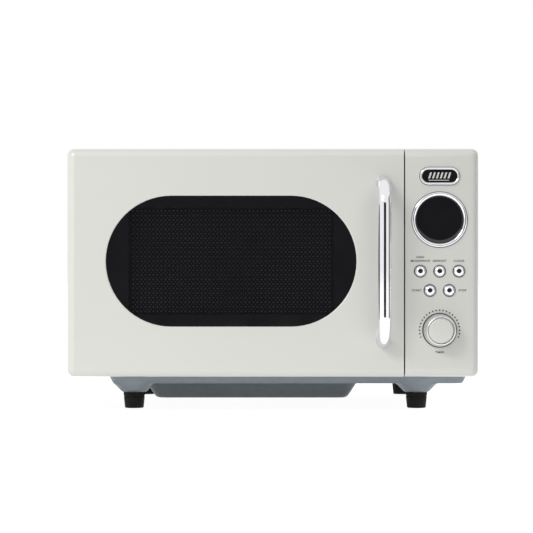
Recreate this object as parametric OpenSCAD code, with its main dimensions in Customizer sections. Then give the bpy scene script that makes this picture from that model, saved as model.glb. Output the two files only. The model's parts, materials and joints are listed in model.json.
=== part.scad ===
// Countertop microwave oven with a rounded retro front, a side-hinged door and a turntable.
// +Z is up and the door faces -Y. The origin is on the table, under the middle of the outline.
// All sizes are in millimetres.

/* [Case] */
// Width across the door and the control panel
body_w = 440; // [360:1:560]
// Height of the door and the cabinet, without the feet
body_h = 244; // [200:1:300]
// Depth from the door's face to the back edge of the cabinet
body_d = 330; // [310:1:420]
// Height of the door's lower edge above the table
body_lift = 37; // [33:1:48]
// Radius of the four corners, seen from the front
corner_r = 7; // [4:0.5:10]
// Rounding of the outer front edges
edge_r = 9; // [5:0.5:12]
// How far the cabinet sits inside the outline of the door
cabinet_inset = 3; // [3:0.5:6]
// Thickness of the sheet steel
sheet = 1; // [0.8:0.1:1.2]

/* [Door] */
// Thickness of the door
door_t = 36; // [34:1:46]
// Gap between the closed door and the front frame
door_gap = 2; // [1.5:0.1:3]
// Gap between the door and the control panel
seam = 1.3; // [0.8:0.1:2.5]
// Largest opening angle of the door, in degrees
door_swing = 100; // [80:1:100]
// Wall of the door shell and of the control panel
skin_t = 2.5; // [2:0.1:3.5]
// Width of the window
window_w = 267.7; // [200:0.1:280]
// Height of the window
window_h = 139.7; // [110:0.1:160]
// How far the window's middle lies left of the door's middle
window_shift = 4.4; // [0:0.1:10]
// How deep the pane sits below the door's face
pane_recess = 1.2; // [0.8:0.1:1.8]
// Thickness of the pane
pane_t = 3; // [2.5:0.1:4]
// Width of the perforated field behind the pane
mesh_w = 217.6; // [170:0.1:230]
// Height of the perforated field behind the pane
mesh_h = 112; // [90:0.5:120]
// Distance from the hinge pins to the edges of the door
hinge_r = 10; // [9:0.5:12]
// Diameter of the hinge pins
pin_d = 6; // [5:0.5:7]

/* [Handle] */
// How far the handle stands out from the door
handle_out = 38; // [32:1:50]
// Length of the handle
handle_l = 182; // [150:1:215]
// Diameter of the handle's bar
handle_d = 14; // [10:0.5:16]
// Bend radius of the handle's bar
handle_bend = 26; // [20:1:26]
// Distance from the handle to the door's right edge
handle_inset = 22.4; // [18:0.1:30]

/* [Control panel] */
// Width of the control panel
panel_w = 78.7; // [70:0.1:100]
// Outer diameter of the display ring
display_d = 60; // [50:1:66]
// Width of the display ring
display_ring_w = 4.5; // [3.5:0.1:6]
// Diameter of the push buttons
button_d = 11; // [9:0.5:13]
// Travel of the push buttons
button_travel = 1.5; // [1:0.1:2]
// Diameter of the knob at its base
knob_d = 37; // [30:1:42]
// How far the knob stands out from the panel
knob_out = 19; // [15:1:24]

/* [Oven] */
// Width of the bay for the electrical parts
bay_w = 109; // [104:1:125]
// Diameter of the glass tray
tray_d = 245; // [200:1:260]
// Diameter of the tray's rollers
roller_d = 15; // [12:0.5:18]

/* [Underside and feet] */
// Distance from the door's face to the middle of the front feet
foot_setback = 64; // [62:1:80]
// Distance between the front and rear feet
foot_pitch = 235; // [200:1:240]
// Height of the rubber feet
foot_h = 17.5; // [14:0.5:20]
// Diameter of the feet at the top
foot_d = 23.7; // [20:0.1:26]
// Height of the central pan above the table
pan_clear = 9.3; // [8:0.1:16]

/* [Clearances] */
// Radial clearance of a running fit
run_fit = 0.06; // [0.03:0.01:0.1]
// Clearance around a piece that drops into a recess
seat_fit = 0.1; // [0.05:0.05:0.2]

/* [Hidden] */
$fn = 64;

// Colours
cream = [0.87, 0.86, 0.83];
chrome = [0.80, 0.80, 0.82];
black = [0.10, 0.10, 0.11];
blue_steel = [0.50, 0.54, 0.58];
zinc = [0.68, 0.69, 0.70];
copper = [0.72, 0.42, 0.25];
board_green = [0.12, 0.38, 0.22];
white_plastic = [0.92, 0.92, 0.90];
mica = [0.76, 0.68, 0.52];
clear = [0.75, 0.85, 0.85, 0.4];

// Main planes
eps = 1;                                     // how far a cut runs past a face
total_d = body_d + handle_out;
y_face = handle_out - total_d / 2;           // front of the door and the panel
y_door = y_face + door_t;                    // back of the closed door
y_frame = y_door + door_gap;                 // front of the front frame and the cabinet
y_back = total_d / 2;                        // back edge of the cabinet
z_low = body_lift;
z_top = body_lift + body_h;
x_left = -body_w / 2;
x_right = body_w / 2;
x_seam = x_right - panel_w;                  // left edge of the control panel
x_open = x_seam - seam;                      // right edge of the door

// Cabinet
case_x = x_right - cabinet_inset;            // half width of the cabinet
case_z = z_top - cabinet_inset;              // top of the cabinet
hem = 6;                                     // width of the cabinet's folded lower hems
flange_w = 12;                               // width of the cabinet's folded rear flange
rear_recess = 2;                             // how deep the rear flange sits
y_flange = y_back - rear_recess;             // outside of the rear flange
y_panel = y_flange - sheet;                  // outside of the rear panel

// Base plate
z_hem = z_low + sheet;                       // underside of the base plate's flange
tray_drop = 9.5;
z_tray = z_low - tray_drop;                  // underside of the stamped tray
z_floor = z_tray + sheet;                    // floor that the inner parts stand on
tray_x = [x_left + 39, case_x - hem];
tray_y = [y_frame + 2, y_panel - sheet - 3];
boss_r = 23.5;                               // foot boss at its top
boss_foot_r = foot_d / 2 + 1.6;              // foot boss at its foot
foot_x = [x_left + 68, x_right - 62];
foot_y = [y_face + foot_setback, y_face + foot_setback + foot_pitch];

// Cavity and its mouth
margin_left = 28;
margin_high = 23;
mouth_x = [x_left + margin_left, x_right - bay_w];
mouth_z = [z_low + margin_high, z_top - margin_high];
cavity_y = [y_frame + sheet, y_panel - sheet - 12];
turn_x = (mouth_x[0] + mouth_x[1]) / 2;
turn_y = (cavity_y[0] + cavity_y[1]) / 2;
z_mid = (mouth_z[0] + mouth_z[1]) / 2;
bay_x = mouth_x[1] + sheet;                  // left side of the electrical bay

// Door
hinge_x = x_left + hinge_r;
hinge_y = y_door - hinge_r;
window_x = (x_left + x_open) / 2 - window_shift;
window_z = z_mid + 1.7;
pane_lap = 6;                                // how far the pane reaches behind the shell
frame_d = 20;                                // depth of the door frame
y_plate = y_door - frame_d;                  // front of the door frame's plate
door_edge = 12;                              // from the door's top and bottom to its frame
frame_x = [hinge_x + 4, x_open - skin_t - 0.5];
frame_z = [z_low + door_edge, z_top - door_edge];
cover_t = 2;                                 // thickness of the choke cover
cover_fit = 0.3;                             // gap between the choke cover and the door's shell
y_cover = y_door - 1 - cover_t;              // front of the choke cover
choke_x = [mouth_x[0] - sheet, mouth_x[1] + sheet];
choke_z = [mouth_z[0] - sheet, mouth_z[1] + sheet];
ear_t = 3;                                   // thickness of a hinge ear
ear_r = 5;                                   // half width of a hinge ear
ear_gap = 0.6;                               // gap between a hinge ear and the door frame
lug_r = 6.5;                                 // radius of the door frame's hinge lugs
lug_t = 4;
screw_x = [(frame_x[0] + choke_x[0] + sheet) / 2, window_x, (frame_x[1] + choke_x[1]) / 2];
screw_z = [(frame_z[0] + choke_z[0]) / 2, (frame_z[1] + choke_z[1]) / 2];
handle_x = x_open - handle_inset;
handle_z = z_mid + 0.75;                     // middle of the handle
handle_end = (handle_l - handle_d) / 2;      // from the handle's middle to the axis of its ends

// Latch
latch_x = [choke_x[1] + 6, choke_x[1] + 14];
hook_x = [latch_x[0] + 1, latch_x[1] - 1];
latch_half = 70;                             // half height of the latch bar
hook_pitch = 115;                            // distance between the hooks
hook_z = [z_mid - hook_pitch / 2, z_mid + hook_pitch / 2];
latch_lift = 4;                              // travel of the latch
hook_reach = 20;                             // how far the hooks stand behind the door
barb = 4;                                    // drop of the hooks' barbs
spring_gap = 0.2;
spring_l = 21;
y_latch = [y_plate + sheet + 0.4, y_cover - 4];
spring_z = z_mid + latch_half + spring_gap;

// Control panel
panel_x = (x_seam + x_right) / 2 - 2.7;      // centre line of the controls
badge_z = z_mid + 92.5;
display_z = z_mid + 46;
row_z = [z_mid - 9, z_mid - 29.6];
button_pitch = 20.6;
button_at = [
    [panel_x - button_pitch, row_z[0]], [panel_x, row_z[0]], [panel_x + button_pitch, row_z[0]],
    [panel_x - button_pitch / 2, row_z[1]], [panel_x + button_pitch / 2, row_z[1]]
];
knob_z = z_mid - 72;
badge_w = 43.4;
badge_h = 19.5;
badge_rim_w = 3;
ring_d = button_d + 2.6;                     // outer diameter of a button's ring
ring_out = 0.8;
button_out = 3;                              // how far a button stands out
button_flange = 1.2;
y_board = y_face + 16;                       // front of the control board
board_t = 1.6;
board_x = [x_seam + skin_t + 2, x_right - skin_t - 2.5];
board_z = [z_mid - 98, z_mid + 78];
switch_h = 4.4;
shaft_d = 6;
display_in = display_d - 2 * display_ring_w; // opening of the display ring

// Electrical bay
guide_y = turn_y - 12;                       // middle of the waveguide
guide_w = 90;
guide_d = 25;
tube_x = bay_x + guide_d;                    // face that the magnetron bolts to
tube_z = mouth_z[1] - 40;
yoke_l = 58;
yoke_w = 84;
yoke_h = 64;
yoke_t = 2;
anode_d = 36;
core_x = [bay_x + 28, bay_x + 84];
core_y = turn_y - 50;
core_w = 84;
core_h = 70;
can_y = [core_y + 62, core_y + 142];
can_x = bay_x + 62;
can_w = 34;
can_h = 52;
clamp_t = 1;
can_z = z_floor + clamp_t + can_h / 2;
fan_x = bay_x + 53;
fan_z = mouth_z[1] - 54;
fan_d = 88;
fan_y = y_panel - sheet - 50;                // front of the shroud's plate
fan_shaft_d = 3;
fan_plate = [99, 104];                       // width and height of the shroud's plate
fan_posts = [for (x = [-1, 1], z = [-1, 1]) [fan_x + x * 34, fan_z + z * 46]];

// Turntable
ring_r = 84;
track_r = 95;                                // radius that the rollers run on
rub = 0.2;                                   // gap at a roller's line of contact
roller_z = mouth_z[0] + rub + roller_d / 2;
z_glass = mouth_z[0] + roller_d + 2 * rub;   // underside of the tray
axle_d = 4;
roller_w = 8;
drive_d = 7;
motor_d = 50;
motor_h = 15;

// ---- helpers ----

module box(a, b) {
    translate(a) cube(b - a);
}

// Upright outline (x, z) with depth from y0 to y1
module y_slab(y0, y1) {
    translate([0, y1, 0]) rotate([90, 0, 0]) linear_extrude(y1 - y0) children();
}

// Flat outline (x, y) with height from z0 to z1
module z_slab(z0, z1) {
    translate([0, 0, z0]) linear_extrude(z1 - z0) children();
}

// Side outline (y, z) with width from x0 to x1
module x_slab(x0, x1) {
    translate([x0, 0, 0]) rotate([90, 0, 90]) linear_extrude(x1 - x0) children();
}

module y_rod(x, z, y0, y1, d) {
    translate([x, y1, z]) rotate([90, 0, 0]) cylinder(h = y1 - y0, d = d);
}

module z_rod(x, y, z0, z1, d) {
    translate([x, y, z0]) cylinder(h = z1 - z0, d = d);
}

module x_rod(y, z, x0, x1, d) {
    translate([x0, y, z]) rotate([0, 90, 0]) cylinder(h = x1 - x0, d = d);
}

// Turned shape whose local +Z points forward from the panel's face
module turned(x, z) {
    translate([x, y_face, z]) rotate([90, 0, 0]) rotate_extrude() children();
}

// Rectangle with its own radius at each corner: low left, low right, high right, high left
module rounded(a, b, r) {
    difference() {
        translate(a) square(b - a);
        for (k = [0:3]) if (r[k] > 0) {
            right = k == 1 || k == 2;
            high = k >= 2;
            corner = [right ? b.x : a.x, high ? b.y : a.y];
            inward = [right ? -1 : 1, high ? -1 : 1];
            centre = corner + inward * r[k];
            low = [for (i = [0, 1]) min(corner[i] - inward[i], centre[i])];
            difference() {
                translate(low) square(r[k] + 1);
                translate(centre) circle(r[k]);
            }
        }
    }
}

module stadium(w, h) {
    square([w - h, h], center = true);
    for (s = [-1, 1]) translate([s * (w - h) / 2, 0]) circle(d = h);
}

// Row of upright slots in a side outline
module slots(count, pitch, w, h) {
    for (i = [0 : count - 1]) translate([(i - (count - 1) / 2) * pitch, 0])
        translate([-w / 2, -h / 2]) square([w, h]);
}

module compression_spring(d, wire, length, turns) {
    steps = 12;
    sides = 6;
    rings = turns * steps;
    points = [for (i = [0 : rings], k = [0 : sides - 1])
        let (a = 360 * i / steps, b = 360 * k / sides, r = d / 2 - wire / 2 + wire / 2 * cos(b))
        [r * cos(a), r * sin(a), wire / 2 + (length - wire) * i / rings + wire / 2 * sin(b)]];
    walls = [for (i = [0 : rings - 1], k = [0 : sides - 1])
        let (a = i * sides + k, b = i * sides + (k + 1) % sides)
        each [[a, a + sides, b + sides], [a, b + sides, b]]];
    start = [for (k = [0 : sides - 1]) k];
    end = [for (k = [sides - 1 : -1 : 0]) rings * sides + k];
    polyhedron(points = points, faces = concat(walls, [start, end]), convexity = 6);
}

// ---- front of the oven ----

// Front block of the oven, shrunk by t on its outer sides and running back to y_end
module face_block(t, y_end) {
    edge = edge_r - t;
    corner = max(corner_r - t, 1);
    a = [x_left + t, z_low + t];
    b = [x_right - t, z_top - t];
    intersection() {
        y_slab(y_face - eps, y_end + eps) rounded(a, b, [corner, corner, corner, corner]);
        z_slab(z_low - eps, z_top + eps)
            rounded([x_left + t, y_face + t], [x_right - t, y_end], [edge, edge, 0, 0]);
        x_slab(x_left - eps, x_right + eps)
            rounded([y_face + t, z_low + t], [y_end, z_top - t], [edge, 0, 0, edge]);
    }
}

// Where a hinge ear can sweep through the door, with its clearance
module ear_sweep(z0) {
    box([x_left - eps, hinge_y - ear_r - 3, z0 - 0.5],
        [hinge_x + ear_r + 1.5, y_door + eps, z0 + ear_t + 0.5]);
}

ear_z = [frame_z[0] - ear_gap - ear_t, frame_z[1] + ear_gap];
posts = concat([for (x = [screw_x[1], screw_x[2]], z = screw_z) [x, z]],
               [for (z = [z_mid - 60, z_mid + 60]) [screw_x[0], z]]);

module door_skin() color(cream) {
    difference() {
        intersection() {
            face_block(0, y_door);
            box([x_left - eps, y_face - eps, z_low - eps], [x_open, y_door + eps, z_top + eps]);
        }
        difference() {
            intersection() {
                face_block(skin_t, y_door + eps);
                box([x_left, y_face, z_low], [x_open - skin_t, y_door + eps, z_top]);
            }
            z_slab(z_low, z_top) hinge_corner(hinge_r - skin_t);
        }
        z_slab(z_low - eps, z_top + eps) hinge_corner(hinge_r);
        translate([window_x, 0, window_z]) {
            y_slab(y_face - eps, y_face + skin_t + eps) stadium(window_w, window_h);
            y_slab(y_face + pane_recess, y_face + skin_t + eps)
                stadium(window_w + 2 * (pane_lap + seat_fit), window_h + 2 * (pane_lap + seat_fit));
        }
        for (s = [-1, 1])
            y_rod(handle_x, handle_z + s * handle_end, y_face - eps, y_face + skin_t + eps, 4.4);
        for (z = ear_z) ear_sweep(z);
    }
    for (p = posts) difference() {
        y_rod(p.x, p.y, y_face + skin_t, y_plate, 8);
        y_rod(p.x, p.y, y_plate - 8, y_plate + eps, 3);
    }
}

// What the door's rounded rear left corner leaves out, seen from above
module hinge_corner(r) {
    difference() {
        translate([x_left - 2 * eps, hinge_y]) square([hinge_r + 2 * eps, hinge_r + 3 * eps]);
        translate([hinge_x, hinge_y]) circle(r);
    }
}

module door_glass() color(black)
    translate([window_x, 0, window_z])
        y_slab(y_face + pane_recess, y_face + pane_recess + pane_t)
            stadium(window_w + 2 * pane_lap, window_h + 2 * pane_lap);

// Upright rectangle around the perforated field, grown by g
module mesh_outline(g) {
    translate([window_x - mesh_w / 2 - g, window_z - mesh_h / 2 - g])
        square([mesh_w + 2 * g, mesh_h + 2 * g]);
}

module frame_outline(g) {
    translate([frame_x[0] + g, frame_z[0] + g])
        square([frame_x[1] - frame_x[0] - 2 * g, frame_z[1] - frame_z[0] - 2 * g]);
}

module choke_outline(g) {
    translate([choke_x[0] + g, choke_z[0] + g])
        square([choke_x[1] - choke_x[0] - 2 * g, choke_z[1] - choke_z[0] - 2 * g]);
}

module door_frame() color(zinc) difference() {
    union() {
        y_slab(y_plate, y_plate + sheet) frame_outline(0);
        y_slab(y_plate, y_cover) difference() {
            frame_outline(0);
            frame_outline(sheet);
        }
        y_slab(y_plate, y_cover) difference() {
            choke_outline(0);
            choke_outline(sheet);
        }
        for (z = [frame_z[0], frame_z[1] - lug_t]) z_slab(z, z + lug_t) {
            translate([hinge_x, hinge_y]) circle(lug_r);
            translate([hinge_x, hinge_y - lug_r]) square([frame_x[0] - hinge_x + sheet, 2 * lug_r]);
        }
        box([latch_x[0], y_plate + sheet, spring_z + spring_gap + spring_l],
            [latch_x[1], y_latch[1], spring_z + spring_gap + spring_l + 2]);
    }
    y_slab(y_plate - eps, y_plate + sheet + eps) mesh_outline(4);
    for (z = [frame_z[0], frame_z[1] - lug_t])
        z_rod(hinge_x, hinge_y, z - eps, z + lug_t + eps, pin_d + 2 * run_fit);
    for (p = posts) y_rod(p.x, p.y, y_plate - eps, y_plate + sheet + eps, 3.2);
}

module door_screen() color(black) {
    y_slab(y_plate - sheet, y_plate) mesh_outline(12);
}

// Closes the back of the door shell around the window
module choke_cover() color([0.2, 0.2, 0.21]) difference() {
    y_slab(y_cover, y_cover + cover_t) difference() {
        translate([hinge_x + cover_fit, z_low + skin_t + cover_fit])
            square([x_open - hinge_x - skin_t - 2 * cover_fit, body_h - 2 * (skin_t + cover_fit)]);
        choke_outline(sheet);
    }
    for (z = ear_z)
        box([x_left, y_cover - eps, z - ear_gap], [hinge_x + ear_r + ear_gap, y_door, z + ear_t + ear_gap]);
    for (z = hook_z)
        box([latch_x[0] - 1, y_cover - eps, z - 5], [latch_x[1] + 1, y_door, z + latch_lift + 5]);
}

module handle() color(chrome) {
    straight = handle_end - handle_bend;
    y_bar = y_face - handle_out + handle_d / 2;
    y_bend = y_bar + handle_bend;
    z_rod(handle_x, y_bar, handle_z - straight, handle_z + straight, handle_d);
    for (s = [0, 1]) translate([0, 0, handle_z]) mirror([0, 0, s]) {
        translate([handle_x, y_bend, straight]) rotate([0, -90, 0]) rotate([0, 0, -90])
            rotate_extrude(angle = 90) translate([handle_bend, 0]) circle(d = handle_d);
        difference() {
            y_rod(handle_x, handle_end, y_bend, y_face, handle_d);
            y_rod(handle_x, handle_end, y_bend + 1, y_face + eps, 4);
        }
    }
}

module door_latch() color(white_plastic) {
    box([latch_x[0], y_latch[0], z_mid - latch_half], [latch_x[1], y_latch[1], z_mid + latch_half]);
    tip = y_door + hook_reach;
    for (z = hook_z) x_slab(hook_x[0], hook_x[1])
        polygon([[y_latch[1], z - 4], [tip - 9, z - 4], [tip - 6, z - 4 - barb],
                 [tip - 3, z - 4 - barb], [tip, z], [tip - 2, z + 4], [y_latch[1], z + 4]]);
}

module latch_spring() color(zinc)
    translate([(latch_x[0] + latch_x[1]) / 2, (y_latch[0] + y_latch[1]) / 2, spring_z])
        compression_spring(6.4, 0.9, spring_l, 5);

// Clear film that closes the window on the oven's side
module inner_film() color(clear)
    y_slab(y_plate + sheet, y_plate + sheet + 0.5) mesh_outline(9);

module door_screws() color(zinc) {
    for (p = posts) {
        y_rod(p.x, p.y, y_plate - 7, y_plate + sheet, 2.9);
        y_rod(p.x, p.y, y_plate + sheet, y_plate + sheet + 2, 6);
    }
    for (s = [-1, 1]) {
        z = handle_z + s * handle_end;
        y_rod(handle_x, z, y_face - 3, y_face + skin_t, 3.9);
        y_rod(handle_x, z, y_face + skin_t, y_face + skin_t + 3, 8);
    }
}

// ---- control panel ----

module control_panel() color(cream) {
    difference() {
        intersection() {
            face_block(0, y_frame);
            box([x_seam, y_face - eps, z_low - eps], [x_right + eps, y_frame + eps, z_top + eps]);
        }
        intersection() {
            face_block(skin_t, y_frame + eps);
            box([x_seam + skin_t, y_face, z_low], [x_right, y_frame + eps, z_top]);
        }
        y_slab(y_face - eps, y_face + skin_t + eps) {
            translate([panel_x, display_z]) circle(d = display_in + 3);
            for (p = button_at) translate(p) circle(d = ring_d - 1.2);
            translate([panel_x, knob_z]) circle(d = shaft_d + 2);
            for (s = [-1, 1]) translate([panel_x + s * 12, badge_z]) circle(d = 3 + 2 * seat_fit);
        }
    }
    for (p = board_posts) difference() {
        y_rod(p.x, p.y, y_face + skin_t, y_board, 6);
        y_rod(p.x, p.y, y_board - 7, y_board + eps, 2.5);
    }
}

board_posts = [for (x = [board_x[0] + 5, board_x[1] - 5], z = [board_z[0] + 5, board_z[1] - 5]) [x, z]];

module control_board() color(board_green) difference() {
    box([board_x[0], y_board, board_z[0]], [board_x[1], y_board + board_t, board_z[1]]);
    for (p = board_posts) y_rod(p.x, p.y, y_board - eps, y_board + board_t + eps, 2.8);
}

// Display module, button switches, relays and supply transformer on the control board
module board_parts() color([0.16, 0.16, 0.18]) {
    back = y_board + board_t;
    box([panel_x - 18, y_face + 4, display_z - 12], [panel_x + 18, y_board, display_z + 12]);
    for (p = button_at)
        box([p.x - 3, y_board - switch_h, p.y - 3], [p.x + 3, y_board, p.y + 3]);
    for (i = [0, 1])
        box([board_x[0] + 6, back, z_mid - 80 + 24 * i], [board_x[0] + 26, back + 15, z_mid - 62 + 24 * i]);
    box([board_x[1] - 36, back, z_mid - 84], [board_x[1] - 6, back + 18, z_mid - 46]);
}

encoder_h = 6.5;
bushing_l = 5;

module encoder() color(zinc) difference() {
    union() {
        box([panel_x - 6, y_board - encoder_h, knob_z - 6], [panel_x + 6, y_board, knob_z + 6]);
        y_rod(panel_x, knob_z, y_board - encoder_h - bushing_l, y_board - encoder_h, 9);
    }
    y_rod(panel_x, knob_z, y_board - encoder_h - bushing_l - eps, y_board - 2, shaft_d + 2 * run_fit);
}

module display_ring() color(chrome) turned(panel_x, display_z) polygon([
    [display_in / 2, -1.6], [display_in / 2, 1], [display_in / 2 + 0.8, 2],
    [display_d / 2 - 1.2, 2], [display_d / 2, 0.8], [display_d / 2, 0],
    [display_in / 2 + 1.4, 0], [display_in / 2 + 1.4, -skin_t], [display_in / 2 - 1.5, -skin_t],
    [display_in / 2 - 1.5, -1.6]
]);

module display_lens() color(black) turned(panel_x, display_z)
    translate([0, -1.6]) square([display_in / 2 - seat_fit, 1.5]);

module badge_rim() color(chrome) translate([panel_x, 0, badge_z]) y_slab(y_face - 2.5, y_face)
    difference() {
        stadium(badge_w, badge_h);
        stadium(badge_w - 2 * badge_rim_w, badge_h - 2 * badge_rim_w);
    }

module badge_plate() color(black) {
    w = badge_w - 2 * (badge_rim_w + seat_fit);
    h = badge_h - 2 * (badge_rim_w + seat_fit);
    translate([panel_x, 0, badge_z]) y_slab(y_face - 1.5, y_face) stadium(w, h);
    for (s = [-1, 1]) y_rod(panel_x + s * 12, badge_z, y_face, y_face + skin_t + 1.5, 3);
}

module button_rings() color(chrome)
    for (p = button_at) turned(p.x, p.y) polygon([
        [button_d / 2 + seat_fit, -skin_t], [button_d / 2 + seat_fit, ring_out],
        [ring_d / 2 - 0.4, ring_out], [ring_d / 2, ring_out - 0.4], [ring_d / 2, 0],
        [ring_d / 2 - 0.6, 0], [ring_d / 2 - 0.6, -skin_t]
    ]);

// Domed push button; its flange catches behind the ring and its stem faces a switch
module button(p) color(chrome) {
    r = button_d / 2;
    dome_r = (r * r + 2.25) / 3;             // radius of a 1.5 mm high cap
    flange_y = y_face + skin_t + seat_fit;
    stem_end = y_board - switch_h - button_travel - seat_fit;
    y_rod(p.x, p.y, y_face - button_out + 1.5, flange_y, button_d);
    intersection() {
        translate([p.x, y_face - button_out + dome_r, p.y]) sphere(dome_r);
        y_rod(p.x, p.y, y_face - button_out - eps, y_face - button_out + 1.5, button_d);
    }
    y_rod(p.x, p.y, flange_y, flange_y + button_flange, ring_d - 1.2);
    y_rod(p.x, p.y, flange_y + button_flange, stem_end, 4);
}

module knob() color(chrome) {
    r = knob_d / 2;
    turned(panel_x, knob_z) polygon([
        [shaft_d / 2, 1.5], [6.5, 1.5], [6.5, knob_out - 6], [r - 6, knob_out - 6], [r - 3, 0.6],
        [r, 0.6], [r - 0.6, 5], [r - 3, knob_out - 1.6], [r - 3.8, knob_out],
        [r - 4.6, knob_out], [r - 4.6, knob_out - 2], [0, knob_out - 2], [0, knob_out - 3],
        [shaft_d / 2, knob_out - 3]
    ]);
    turned(panel_x, knob_z)
        translate([0, bushing_l + encoder_h - (y_board - y_face) - 9])
            square([shaft_d / 2, knob_out - 3 + 9 - bushing_l - encoder_h + y_board - y_face]);
}

module knob_face() color(cream) turned(panel_x, knob_z)
    translate([0, knob_out - 2]) square([knob_d / 2 - 4.6 - seat_fit, 2.3]);

// ---- cabinet ----

module cabinet_outline(g) {
    r = max(corner_r - cabinet_inset - g, 1);
    rounded([-case_x + g, z_low + g], [case_x - g, case_z - g], [0, 0, r, r]);
}

vent_z = z_mid + 6;

module cabinet() color(cream) difference() {
    union() {
        y_slab(y_frame, y_back) difference() {
            cabinet_outline(0);
            cabinet_outline(sheet);
            translate([-case_x + hem, z_low - eps]) square([2 * (case_x - hem), sheet + 2 * eps]);
        }
        y_slab(y_flange - sheet, y_flange) difference() {
            cabinet_outline(sheet / 2);
            translate([-case_x + flange_w, z_low - eps])
                square([2 * (case_x - flange_w), case_z - flange_w - z_low + eps]);
        }
    }
    for (x = [-case_x, case_x - sheet]) x_slab(x - eps, x + sheet + eps)
        translate([y_panel - 75, vent_z]) slots(9, 10, 4, 70);
    for (p = rear_screws) y_rod(p.x, p.y, y_panel - sheet - eps, y_flange + eps, 4.2);
}

rear_screws = concat(
    [for (x = [-case_x + 7, case_x - 7], z = [z_low + 40, case_z - 60]) [x, z]],
    [for (x = [-case_x + 80, case_x - 80]) [x, case_z - 7]]);
gland_x = case_x - 34;
gland_z = z_low + 34;

// Post from y to the rear panel, bored for a screw
module panel_post(p, y, d) difference() {
    y_rod(p.x, p.y, y, y_panel - sheet, d);
    y_rod(p.x, p.y, y_panel - sheet - post_bore, y_panel, post_screw_d + 0.2);
}

post_screw_d = 3;
post_bore = 7;

module rear_panel() color(zinc) difference() {
    y_slab(y_panel - sheet, y_panel) cabinet_outline(sheet);
    y_slab(y_panel - sheet - eps, y_panel + eps) {
        for (row = [-2 : 2]) translate([fan_x, fan_z + row * 14]) slots(7, 11, 4, 10);
        for (row = [0 : 2]) translate([mouth_x[0] + 40, z_mid + row * 14]) slots(6, 11, 4, 10);
        translate([gland_x, gland_z]) circle(d = 14);
        for (p = rear_screws) translate(p) circle(d = 4.2);
        for (p = concat(filter_posts, fan_posts)) translate(p) circle(d = post_screw_d + 0.4);
    }
}

module cord_gland() color(black) difference() {
    union() {
        y_rod(gland_x, gland_z, y_panel - sheet - 2, y_back - 0.2, 14);
        y_rod(gland_x, gland_z, y_panel, y_back - 0.2, 18);
        y_rod(gland_x, gland_z, y_panel - sheet - 3, y_panel - sheet, 18);
    }
    y_rod(gland_x, gland_z, y_panel - sheet - 4, y_back, 8);
}

module front_frame() color(zinc) difference() {
    y_slab(y_frame, y_frame + sheet) {
        r = max(corner_r - cabinet_inset - sheet, 1);
        rounded([-case_x + sheet, z_low + sheet], [case_x - sheet, case_z - sheet], [0, 0, r, r]);
    }
    y_slab(y_frame - eps, y_frame + sheet + eps) {
        translate([mouth_x[0], mouth_z[0]]) square([mouth_x[1] - mouth_x[0], mouth_z[1] - mouth_z[0]]);
        translate([x_seam + 8, board_z[0] + 12]) square([panel_w - 22, board_z[1] - board_z[0] - 12]);
        for (z = ear_z) translate([-case_x, z - 0.5])
            square([hinge_x + ear_r + 0.5 + case_x, ear_t + 1]);
        for (z = hook_z) translate([hook_x[0] - 2, z - 4 - barb - 1])
            square([hook_x[1] - hook_x[0] + 6, barb + latch_lift + 11]);
    }
}

// ---- underside ----

// Stamped pan with sloping sides: x and y at the top, z from top to bottom, slopes left and right
module pan(x, y, z_up, z_down, left, right, fore) {
    intersection() {
        y_slab(y[0] - eps, y[1] + eps)
            polygon([[x[0], z_up], [x[0] + left, z_down], [x[1] - right, z_down], [x[1], z_up]]);
        x_slab(x[0] - eps, x[1] + eps)
            polygon([[y[0], z_up], [y[0] + fore, z_down], [y[1] - fore, z_down], [y[1], z_up]]);
    }
}

pan_x = [turn_x - 103.5, turn_x + 137];
pan_y = [turn_y - 105, turn_y + 105];
pan_slope = [14, 16, 12];
cover_x = [turn_x - 48, turn_x + 52];
cover_y = [turn_y - 50, turn_y + 50];

module base_forms(g) {
    pan([tray_x[0] + g, tray_x[1] - g], [tray_y[0] + g, tray_y[1] - g],
        z_hem + sheet + g, z_tray + g, 8, 2, 2);
    pan([pan_x[0] + g, pan_x[1] - g], [pan_y[0] + g, pan_y[1] - g],
        z_floor + g, pan_clear + g, pan_slope[0], pan_slope[1], pan_slope[2]);
    for (x = foot_x, y = foot_y) translate([x, y, foot_h + g])
        cylinder(h = z_floor - foot_h, r1 = boss_foot_r - g, r2 = boss_r - g);
}

module base_plate() color(blue_steel) difference() {
    union() {
        box([-case_x + sheet, y_frame + sheet, z_hem], [case_x - sheet, y_panel - sheet, z_hem + sheet]);
        base_forms(0);
    }
    base_forms(sheet);
    for (x = foot_x, y = foot_y) z_rod(x, y, foot_h - eps, foot_h + sheet + eps, 4.2);
    box([cover_x[0] + 8, cover_y[0] + 8, pan_clear - eps],
        [cover_x[1] - 8, cover_y[1] - 8, pan_clear + sheet + eps]);
}

module motor_cover() color(blue_steel)
    box([cover_x[0], cover_y[0], pan_clear - sheet], [cover_x[1], cover_y[1], pan_clear]);

module feet() color(black)
    for (x = foot_x, y = foot_y) translate([x, y, 0]) difference() {
        rotate_extrude() polygon([
            [0, 0], [foot_d / 2 - 1.25, 0], [foot_d / 2 - 0.2, foot_h - 3.2],
            [foot_d / 2 - 1.2, foot_h - 3], [foot_d / 2 - 1.2, foot_h - 1.6],
            [foot_d / 2, foot_h - 1.4], [foot_d / 2, foot_h], [0, foot_h]
        ]);
        cylinder(h = 12, d = 9, center = true);
        translate([0, 0, 5]) cylinder(h = foot_h, d = 4.2);
    }

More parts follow.
